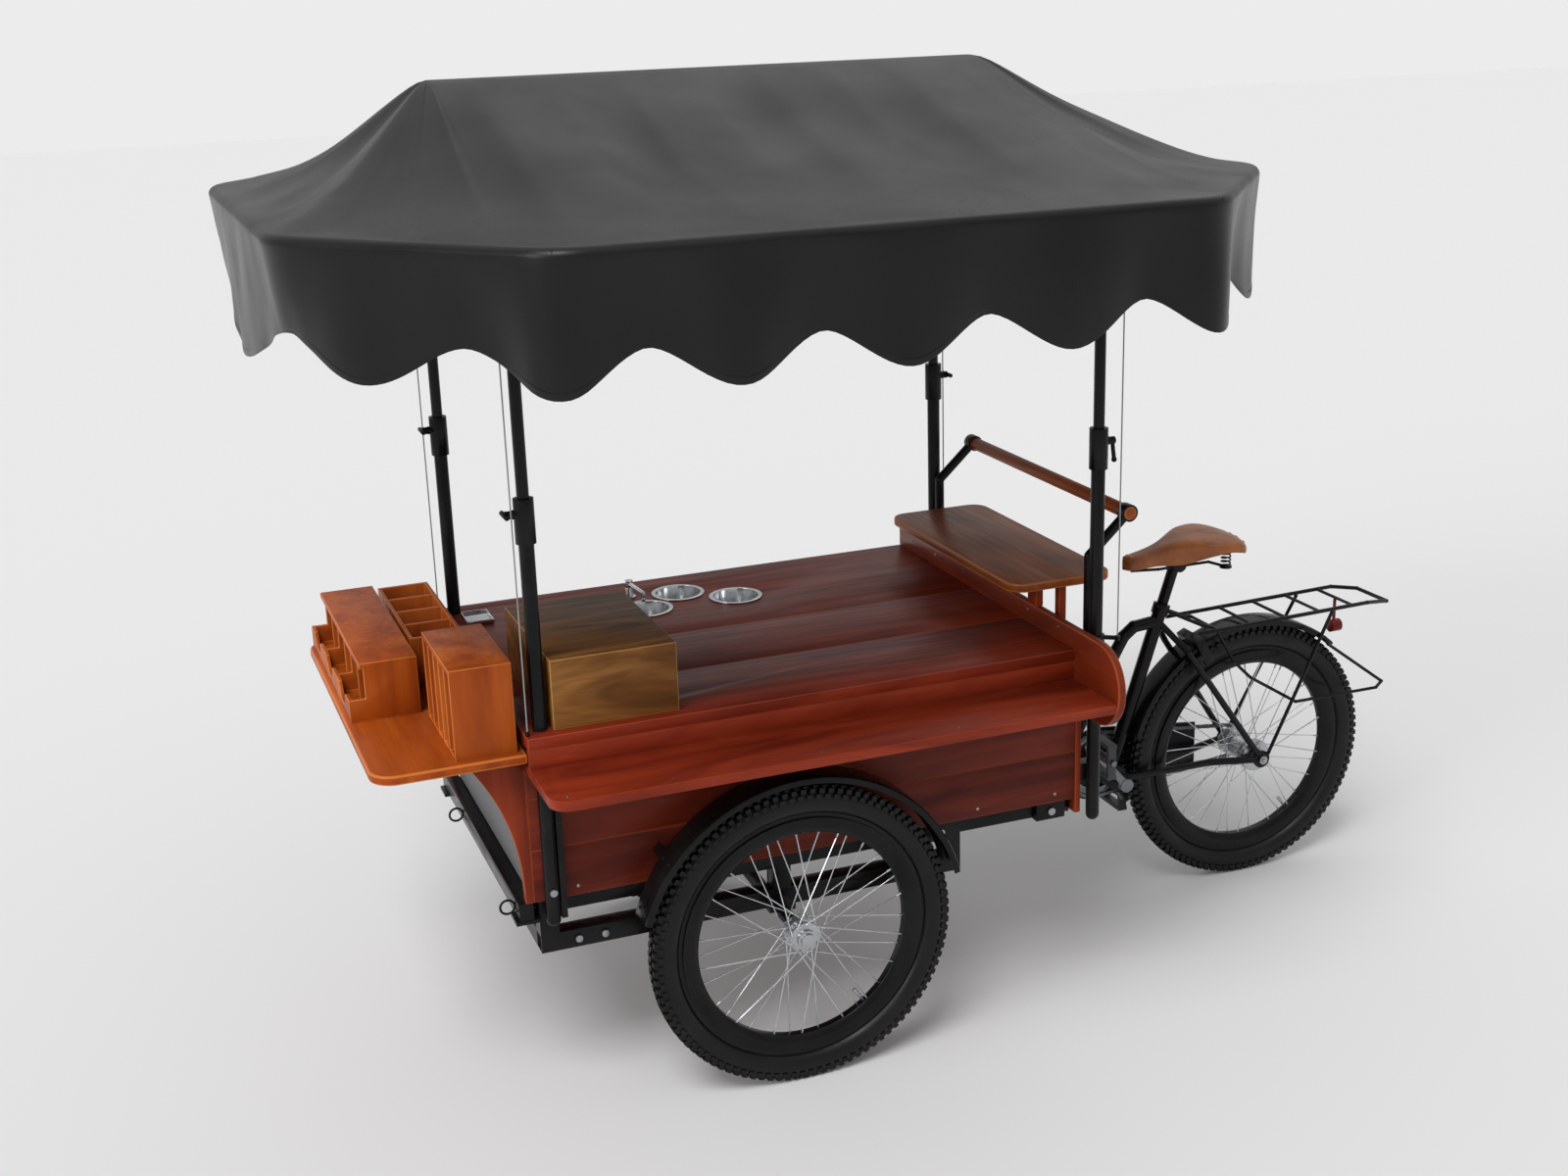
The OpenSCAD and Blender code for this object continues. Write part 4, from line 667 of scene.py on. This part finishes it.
def ring_tree():
    """Repeats its part round an axle that lies along Y."""
    tree = bpy.data.node_groups.new("parts_round_an_axle", "GeometryNodeTree")
    for name, kind in (("Part", "NodeSocketGeometry"), ("Count", "NodeSocketInt"), ("Axle", "NodeSocketVector"),
                       ("Finish", "NodeSocketMaterial")):
        socket_in(tree, name, kind)
    tree.interface.new_socket("Parts", in_out="OUTPUT", socket_type="NodeSocketGeometry")
    given, result = tree.nodes.new("NodeGroupInput"), tree.nodes.new("NodeGroupOutput")
    back = add_node(tree, "ShaderNodeVectorMath", {3: -1.0}, operation="SCALE")
    shift = tree.nodes.new("GeometryNodeTransform")
    points = tree.nodes.new("GeometryNodePoints")
    index = tree.nodes.new("GeometryNodeInputIndex")
    pitch = add_node(tree, "ShaderNodeMath", {0: math.tau}, operation="DIVIDE")
    turn = add_node(tree, "ShaderNodeMath", operation="MULTIPLY")
    spin = add_node(tree, "FunctionNodeAxisAngleToRotation", {"Axis": (0, 1, 0)})
    place = tree.nodes.new("GeometryNodeInstanceOnPoints")
    real = tree.nodes.new("GeometryNodeRealizeInstances")
    finish = tree.nodes.new("GeometryNodeSetMaterial")
    link = tree.links.new
    link(given.outputs["Axle"], back.inputs[0])
    link(given.outputs["Part"], shift.inputs["Geometry"])
    link(back.outputs[0], shift.inputs["Translation"])
    link(given.outputs["Count"], points.inputs["Count"])
    link(given.outputs["Axle"], points.inputs["Position"])
    link(given.outputs["Count"], pitch.inputs[1])
    link(index.outputs[0], turn.inputs[0])
    link(pitch.outputs[0], turn.inputs[1])
    link(turn.outputs[0], spin.inputs["Angle"])
    link(points.outputs[0], place.inputs["Points"])
    link(shift.outputs[0], place.inputs["Instance"])
    link(spin.outputs[0], place.inputs["Rotation"])
    link(place.outputs[0], real.inputs[0])
    link(real.outputs[0], finish.inputs["Geometry"])
    link(given.outputs["Finish"], finish.inputs["Material"])
    link(finish.outputs[0], result.inputs[0])
    return tree


def grown(obj, tree, values, name, body, sharp=38, replaces=()):
    """Runs a tree on an object and keeps its result as a plain mesh in the object's stead."""
    run = obj.modifiers.new("parts", "NODES")
    run.node_group = tree
    for item in tree.interface.items_tree:
        if item.item_type == "SOCKET" and item.in_out == "INPUT" and item.name in values:
            run[item.identifier] = values[item.name]
    graph = bpy.context.evaluated_depsgraph_get()
    mesh = bpy.data.meshes.new_from_object(obj.evaluated_get(graph), preserve_all_data_layers=True, depsgraph=graph)
    bpy.data.objects.remove(obj)
    mesh.name = name
    mesh.shade_smooth()
    mesh.set_sharp_from_angle(angle=math.radians(sharp))
    made = bpy.data.objects.new(name, mesh)
    bpy.context.scene.collection.objects.link(made)
    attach(made, body)
    if replaces:
        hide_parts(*replaces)
    return made


def seed(verts, faces):
    """A bare mesh object for a tree to start from."""
    mesh = bpy.data.meshes.new("seed")
    mesh.from_pydata([tuple(v) for v in verts], [], faces)
    work = bmesh.new()
    work.from_mesh(mesh)
    bmesh.ops.recalc_face_normals(work, faces=work.faces)
    work.to_mesh(mesh)
    work.free()
    made = bpy.data.objects.new("seed", mesh)
    bpy.context.scene.collection.objects.link(made)
    return made


def joined(*parts):
    """Several (vertices, faces) as one."""
    verts, faces = [], []
    for more_verts, more_faces in parts:
        start = len(verts)
        verts += list(more_verts)
        faces += [tuple(i + start for i in f) for f in more_faces]
    return verts, faces


def turned(centre, profile, steps, closed=True):
    """A profile of (radius, y) points turned round an axle along Y."""
    count = len(profile)
    verts = [centre + Vector((r * math.cos(math.tau * k / steps), y, r * math.sin(math.tau * k / steps))) / 1000
             for k in range(steps) for r, y in profile]
    faces = [(k * count + j, k * count + (j + 1) % count, (k + 1) % steps * count + (j + 1) % count, (k + 1) % steps * count + j)
             for k in range(steps) for j in range(count if closed else count - 1)]
    return verts, faces


rubber, tree, shader = new_material("tyre_rubber", "#0d0d0e", 0.5, specular=0.25)
tree.links.new(ramp(tree, object_noise(tree, 7.0, 5.0), [(0.3, "#09090a"), (0.55, "#0e0e0f"), (0.8, "#191919")]),
               shader.inputs["Base Color"])
tree.links.new(spread_value(tree, object_noise(tree, 12.0, 3.0), 0.3, 0.5), shader.inputs["Roughness"])
bumped(tree, shader, object_noise(tree, 300.0, 3.0), 0.2, 0.0006)
rim_black = paint("rim_black", "#080809", "#2c2c2d", 0.22, 0.04)
spoke_metal = bright_metal("spoke_metal", "#d4d6d8", 0.2, 0.02)
hub_metal = bright_metal("hub_metal", "#b9bbbe", 0.28, 0.05)
round_axle = ring_tree()
section = []
for k in range(25):
    a = -0.86 * math.pi + 1.72 * math.pi * k / 24
    section.append((RIM_R + 33.5 + 28.0 * math.cos(a), 26.5 * math.sin(a) * (1.0 + 0.12 * math.cos(a) ** 2)))
tyre_profile = section + [(RIM_R - 7, 13.4), (RIM_R - 7, 11), (RIM_R + 8, 12), (RIM_R + 52, 14), (RIM_R + 56, 0),
                          (RIM_R + 52, -14), (RIM_R + 8, -12), (RIM_R - 7, -11), (RIM_R - 7, -13.4)]


def knob(centre, low, high, y0, y1, a0, a1, lean=0.0):
    """One tread block between two radii, two widths and two angles."""
    verts = []
    for r, inset in ((low, 0.0), (high, 1.0)):
        for y, a in ((y0, a0), (y1, a0), (y1, a1), (y0, a1)):
            y += inset * (0.8 if y == min(y0, y1) else -0.8)
            a += inset * (0.0025 if a == a0 else -0.0025)
            radius = r - lean * abs(y) ** 2 / 1000
            verts.append(centre + Vector((radius * math.cos(a), y, radius * math.sin(a))) / 1000)
    return verts, [(3, 2, 1, 0), (4, 5, 6, 7), (0, 1, 5, 4), (1, 2, 6, 5), (2, 3, 7, 6), (3, 0, 4, 7)]


wheels = {"left": (0.0, 473.0, "left_wheel", 20.0), "right": (0.0, -473.0, "right_wheel", 20.0),
          "rear": (-1396.0, 0.0, "rear_wheel", 28.0)}
for name, (wheel_x, wheel_y, body, flange) in wheels.items():
    axle = cart(wheel_x, wheel_y, WHEEL_Z)
    casing = turned(axle, tyre_profile, 128)
    piece(name + "_tyre_casing", *casing, rubber, body, "tyre", 30, (name + "_tyre",))
    step = math.tau / KNOBS
    blocks = []
    for y, width, low, high, shift in ((-4.5, 8.5, 325.5, 333.6, 0.0), (4.5, 8.5, 325.5, 333.6, 0.5), (-15.5, 9.5, 320.0, 331.2, 0.5),
                                       (15.5, 9.5, 320.0, 331.2, 0.0), (-24.7, 5.0, 312.0, 321.0, 0.05), (24.7, 5.0, 312.0, 321.0, 0.55)):
        start = shift * step
        blocks.append(knob(axle, low, high, y - width / 2, y + width / 2, start, start + 0.62 * step))
    grown(seed(*joined(*blocks)), round_axle, {"Count": KNOBS, "Axle": tuple(axle), "Finish": rubber}, name + "_tyre_knobs", body, 30)
    laced = []
    caps = []
    for hand in (-1, 1):
        for out in (0, 1):
            start = (out + (0.5 if hand > 0 else 0.0)) * math.tau / 18
            end = start + math.radians(62 if out == 0 else -62)
            y = hand * (flange + 4.75 if out == 0 else flange - 1.75)
            foot = Vector((30 * math.cos(start), y, 30 * math.sin(start)))
            head = Vector(((RIM_IN + 1) * math.cos(end), hand * 4, (RIM_IN + 1) * math.sin(end)))
            elbow = foot + Vector((0, -hand * 3.2 if out == 0 else hand * 3.2, 0))
            way = (head - foot).normalized()
            laced.append(tube([axle + p / 1000 for p in (elbow, foot + way * 0.4, foot + way * 4, head)], 0.0013, 7))
            caps.append(tube([axle + p / 1000 for p in (head - way * 13, head - way * 11, head)], [0.0014, 0.0021, 0.0023], 8))
    grown(seed(*joined(*laced)), round_axle, {"Count": 9, "Axle": tuple(axle), "Finish": spoke_metal}, name + "_spokes_laced", body,
          50, (name + "_spokes",))
    grown(seed(*joined(*caps)), round_axle, {"Count": 9, "Axle": tuple(axle), "Finish": hub_metal}, name + "_nipples", body, 50)
    dressed(name + "_rim", rim_black, 0.0008)
    dressed(name + "_hub", hub_metal, 0.0008)
    stem = [axle + Vector((math.cos(-2.2), 0, math.sin(-2.2))) * r / 1000 for r in (232, 221, 219, 206, 205, 196, 194)]
    piece(name + "_valve", *tube(stem, [0.003, 0.003, 0.0036, 0.0036, 0.0045, 0.0045, 0.003], 12), hub_metal, body, "chrome", 40)
dressed("rear_axle", zinc, 0.0008)


# Mudguards
# Rolled black steel with turned-in edges, over the two front wheels and the rear one, on flat straps.
gloss_black = paint("gloss_black", "#080809", "#343436", 0.2, 0.05)
dressed("front_mudguards", gloss_black, 0.0006)
dressed("rear_mudguard", gloss_black, 0.0006)


# Rear frame, rack and lock
# Brazed round steel tubes in gloss black carry the rear wheel, the rack of rods and the frame lock.
for node in ("rear_frame", "rear_rack", "ring_lock"):
    dressed(node, gloss_black, 0.0008, angle=40)
dressed("tail_lamp", paint("lamp_lens", "#5a1414", "#7a3030", 0.18, 0.02), 0.002)


# Drive
# A forged crankset with its chainring, the chain behind a plate guard, and two block pedals.
alloy = bright_metal("alloy", "#77797c", 0.3, 0.05)
dressed("crankset", alloy, 0.0012)
dressed("chain_guard", paint("guard_paint", "#18191b", "#444547", 0.3), 0.0005)
for node in ("pedal_left", "pedal_right"):
    dressed(node, paint(node + "_cage", "#3c3d3f", "#77787a", 0.4, 0.2), 0.0015)


def placed_tree():
    """Puts a part on every given point, turned by the point's own turn."""
    tree = bpy.data.node_groups.new("parts_on_points", "GeometryNodeTree")
    for name, kind in (("Points", "NodeSocketGeometry"), ("Part", "NodeSocketObject"), ("Finish", "NodeSocketMaterial")):
        socket_in(tree, name, kind)
    tree.interface.new_socket("Parts", in_out="OUTPUT", socket_type="NodeSocketGeometry")
    given, result = tree.nodes.new("NodeGroupInput"), tree.nodes.new("NodeGroupOutput")
    part = tree.nodes.new("GeometryNodeObjectInfo")
    turn = add_node(tree, "GeometryNodeInputNamedAttribute", {"Name": "turn"}, data_type="FLOAT_VECTOR")
    spin = tree.nodes.new("FunctionNodeEulerToRotation")
    place = tree.nodes.new("GeometryNodeInstanceOnPoints")
    real = tree.nodes.new("GeometryNodeRealizeInstances")
    finish = tree.nodes.new("GeometryNodeSetMaterial")
    link = tree.links.new
    link(given.outputs["Points"], place.inputs["Points"])
    link(given.outputs["Part"], part.inputs["Object"])
    link(part.outputs["Geometry"], place.inputs["Instance"])
    link(turn.outputs[0], spin.inputs[0])
    link(spin.outputs[0], place.inputs["Rotation"])
    link(place.outputs[0], real.inputs[0])
    link(real.outputs[0], finish.inputs["Geometry"])
    link(given.outputs["Finish"], finish.inputs["Material"])
    link(finish.outputs[0], result.inputs[0])
    return tree


on_points = placed_tree()


def scattered(name, places, part, finish, body, replaces=(), sharp=40):
    """Copies of a part at (point, Euler turn) places, as one mesh."""
    points = seed([p for p, _ in places], [])
    turns = points.data.attributes.new("turn", "FLOAT_VECTOR", "POINT")
    turns.data.foreach_set("vector", [v for _, turn in places for v in turn])
    sample = seed(*part)
    made = grown(points, on_points, {"Part": sample, "Finish": finish}, name, body, sharp, replaces)
    bpy.data.objects.remove(sample)
    return made


def dome(radius, height, around=14, rings=4):
    """A low dome or screw head that stands on its origin along Z, in millimetres."""
    verts, faces = [Vector((0, 0, height / 1000))], []
    for i in range(1, rings + 1):
        a = math.pi / 2 * i / rings
        verts += [Vector((radius * math.sin(a) * math.cos(math.tau * j / around), radius * math.sin(a) * math.sin(math.tau * j / around),
                          height * math.cos(a))) / 1000 for j in range(around)]
    for j in range(around):
        faces.append((0, 1 + j, 1 + (j + 1) % around))
        for i in range(rings - 1):
            a, b = 1 + i * around, 1 + (i + 1) * around
            faces.append((a + j, b + j, b + (j + 1) % around, a + (j + 1) % around))
    faces.append(tuple(1 + (rings - 1) * around + j for j in range(around - 1, -1, -1)))
    return verts, faces


def facing(way):
    """The Euler turn that stands a part up along a direction."""
    return tuple(Vector(way).to_track_quat("Z", "Y").to_euler())


CHAIN_Y, RING_R, COG_R, CRANK_X, WHEEL_X, CRANK_Z = -60.0, 80.85, 36.38, 1006.0, 1396.0, 335.0
mid = 4.5
reach_x, reach_z = WHEEL_X - CRANK_X, WHEEL_Z - CRANK_Z
apart = math.hypot(reach_x, reach_z)
tilt, spread = math.atan2(reach_z, -reach_x), math.acos((RING_R - COG_R) / apart)
loop = [Vector((-CRANK_X + (RING_R + mid) * math.cos(a), CRANK_Z + (RING_R + mid) * math.sin(a)))
        for a in (tilt + spread + (math.tau - 2 * spread) * i / 60 for i in range(61))]
loop += [Vector((-WHEEL_X + (COG_R + mid) * math.cos(a), WHEEL_Z + (COG_R + mid) * math.sin(a)))
         for a in (tilt - spread + 2 * spread * i / 40 for i in range(41))]
sides = [(loop[i] - loop[i - 1]).length for i in range(len(loop))]
total = sum(sides)
links = 2 * round(total / 25.4)


def chain_place(share):
    """The point and the direction of the chain at a share of its length."""
    run = total * share
    for i in range(len(loop)):
        if run <= sides[i]:
            break
        run -= sides[i]
    way = (loop[i] - loop[i - 1]).normalized()
    spot = loop[i - 1] + way * run
    return spot, way


def stadium(length, radius, y0, y1):
    """A plate with round ends along X, between two widths."""
    rim = [(length / 2 + radius * math.cos(a), radius * math.sin(a)) for a in (-math.pi / 2 + math.pi * i / 6 for i in range(7))]
    rim += [(-x, -z) for x, z in rim]
    count = len(rim)
    verts = [Vector((x, y, z)) / 1000 for y in (y0, y1) for x, z in rim]
    faces = [tuple(range(count)), tuple(range(2 * count - 1, count - 1, -1))]
    faces += [(j, (j + 1) % count, count + (j + 1) % count, count + j) for j in range(count)]
    return verts, faces


def barrel(x, radius, y0, y1, around=10):
    return tube([Vector((x, y0, 0)) / 1000, Vector((x, y1, 0)) / 1000], radius / 1000, around)


pitch = total / links
chain_steel = bright_metal("chain_steel", "#6c6e71", 0.34, 0.05)
for kind, first, out in (("outer", 0, 3.6), ("inner", 1, 2.5)):
    places = []
    for k in range(first, links, 2):
        spot, way = chain_place((k + 0.5) / links)
        places.append((cart(spot.x, CHAIN_Y, spot.y), (0.0, -math.atan2(way.y, way.x), 0.0)))
    plates = [stadium(pitch, 4.0, -out - 0.5, -out + 0.5), stadium(pitch, 4.0, out - 0.5, out + 0.5)]
    bars = [barrel(s * pitch / 2, 1.7 if kind == "outer" else 3.6, -3.9 if kind == "outer" else -2.0, 3.9 if kind == "outer" else 2.0)
            for s in (-1, 1)]
    scattered(f"chain_{kind}_links", places, joined(*plates, *bars), chain_steel, "rear_end", ("chain",))


# Saddle
# Thick tan leather stretched over a steel frame on two coil springs, fixed with copper rivets.
dressed("seat_post", black_paint, 0.0006)
SADDLE = Vector((-1179.3, 0.0, 856.0))
springs = []
for hand in (-1, 1):
    turns, pitch_z, low_z = 3.6, 8.0, SADDLE.z - 12 + 5 + 2.3
    steps = int(22 * turns)
    springs.append(tube([cart(SADDLE.x - 110 + 11 * math.cos(math.tau * turns * i / steps),
                              hand * 52 + 11 * math.sin(math.tau * turns * i / steps),
                              low_z + pitch_z * turns * 1.14 * i / steps) for i in range(steps + 1)], 0.0021, 10))
piece("saddle_spring_coils", *joined(*springs), black_paint, "saddle", "black_steel", 50, ("saddle_springs",))
SADDLE_L, SADDLE_ROWS = 304.0, 44


def saddle_half(f):
    """Half width of the leather from the nose (0) to the back (1)."""
    half = 16 + 12 * math.sin(math.radians(90 * min(1, f * 6)))
    half += 76 * math.sin(math.radians(90 * max(0, min(1, (f - 0.25) / 0.55)))) ** 2
    half -= 40 * max(0, (f - 0.82) / 0.18) ** 3
    if f < 0.06:
        half *= math.sqrt(max(0.0, 1 - (1 - f / 0.06) ** 2)) * 0.94 + 0.06
    if f > 0.95:
        half *= math.sqrt(max(0.0, 1 - ((f - 0.95) / 0.05) ** 2)) * 0.5 + 0.5
    return half


def saddle_top(f):
    """Height of the leather's crown over the clamp."""
    return 36 + 38 * math.sin(math.radians(90 * min(1, f / 0.65))) ** 2 - 20 * max(0, (f - 0.75) / 0.25) ** 2


saddle_verts, saddle_faces = [], []
ring = 26
LEATHER_T = 4.5
for row in range(SADDLE_ROWS + 1):
    f = row / SADDLE_ROWS
    half, crown = saddle_half(f), saddle_top(f)
    dip = 5.0 * math.exp(-((f - 0.62) / 0.2) ** 2)
    skirt = 13.0 + 24.0 * math.exp(-((f - 0.46) / 0.2) ** 2)
    outer, inner = [], []
    for j in range(ring):
        a = math.pi * j / (ring - 1)
        y = half * math.copysign(abs(math.cos(a)) ** 0.8, math.cos(a))
        z = crown - 20 + 20 * math.sin(a) ** 0.9 - dip * math.exp(-(y / 17.0) ** 2)
        outer.append((y, z))
        thin = max(0.25, 1 - LEATHER_T / max(half, 8.0))
        inner.append((y * thin, z - LEATHER_T * math.sin(a) ** 0.5))
    outer = [(half * 0.96, crown - 20 - skirt), (half, crown - 20 - skirt * 0.5)] + outer
    outer += [(-half, crown - 20 - skirt * 0.5), (-half * 0.96, crown - 20 - skirt)]
    thin = max(0.25, 1 - LEATHER_T / max(half, 8.0))
    inner = [(half * 0.96 * thin, crown - 20 - skirt), (half * thin, crown - 20 - skirt * 0.5)] + inner
    inner += [(-half * thin, crown - 20 - skirt * 0.5), (-half * 0.96 * thin, crown - 20 - skirt)]
    saddle_verts += [cart(SADDLE.x + 146 - SADDLE_L * f, y, SADDLE.z + z) for y, z in outer + inner[::-1]]
count = 2 * (ring + 4)
for row in range(SADDLE_ROWS):
    for j in range(count):
        n = (j + 1) % count
        saddle_faces.append((row * count + j, row * count + n, (row + 1) * count + n, (row + 1) * count + j))
half_ring = count // 2
for row in (0, SADDLE_ROWS):
    for j in range(half_ring - 1):
        saddle_faces.append((row * count + j, row * count + j + 1, row * count + count - 2 - j, row * count + count - 1 - j))
leather, tree, shader = new_material("tan_leather", "#985628", 0.36, specular=0.4)
tree.links.new(ramp(tree, object_noise(tree, 16.0, 6.0), [(0.28, "#74401c"), (0.5, "#98562a"), (0.75, "#b36e38")]),
               shader.inputs["Base Color"])
tree.links.new(spread_value(tree, object_noise(tree, 26.0, 4.0), 0.28, 0.44), shader.inputs["Roughness"])
place = add_node(tree, "ShaderNodeTexCoord")
pebbles = add_node(tree, "ShaderNodeTexVoronoi", {"Scale": 520.0})
tree.links.new(place.outputs["Object"], pebbles.inputs["Vector"])
bumped(tree, shader, pebbles.outputs["Distance"], 0.22, 0.0005)
saddle = piece("saddle_leather", saddle_verts, saddle_faces, leather, "saddle", "leather", 60, ("saddle_cover",))
copper = bright_metal("copper_rivets", "#b5743f", 0.3, 0.04)
rivets = []
for share, y_share in ((0.965, 0.82), (0.965, -0.82), (0.985, 0.45), (0.985, -0.45), (0.99, 0.0)):
    half, crown = saddle_half(share), saddle_top(share)
    a = math.acos(min(1, abs(y_share)) ** 1.25)
    z = crown - 20 + 20 * math.sin(a) ** 0.9
    rivets.append((cart(SADDLE.x + 146 - SADDLE_L * share, half * y_share, SADDLE.z + z - 0.6), facing((-0.5, y_share * 0.5, 1.0))))
for y in (-9, 0, 9):
    rivets.append((cart(SADDLE.x + 146 - SADDLE_L * 0.05, y, SADDLE.z + saddle_top(0.05) - 0.9 - abs(y) * 0.12), facing((0.5, y / 20, 1.0))))
scattered("saddle_rivets", rivets, dome(4.6, 1.9), copper, "saddle")


# Rivets and screws
# Domed rivets hold the mudguards to their straps; bright screws hold the boards and the post brackets.
guard_rivets = []
for hand in (-1, 1):
    for degrees in (20, 38, 90, 142, 163):
        a = math.radians(degrees)
        guard_rivets += [(cart(364.0 * math.cos(a), hand * 473.0 + shift, WHEEL_Z + 364.0 * math.sin(a)),
                          facing((math.cos(a), 0, math.sin(a)))) for shift in (-17, 17)]
scattered("mudguard_rivets", guard_rivets, dome(4.5, 2.2), gloss_black, "cart")
screws = []
for hand in (-1, 1):
    for z in (500, 560, 650, 740, 810):
        screws.append((cart(-704, hand * 371, z), facing((-1, 0, 0))))
    for x in (-640, -450, -150, 150, 450):
        screws.append((cart(x, hand * 392, 500), facing((0, hand, 0))))
for y in (-380, -240, 240, 380):
    screws.append((cart(-667, y, 885), facing((-1, 0, 0))))
    screws.append((cart(-649, y, 885), facing((1, 0, 0))))
for x in (-600, -300, 0, 300, 510):
    screws.append((cart(x, 606, 792), facing((0, 0, 1))))
scattered("board_screws", screws, dome(3.6, 0.9, 12, 3), zinc, "cart")


low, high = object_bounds()
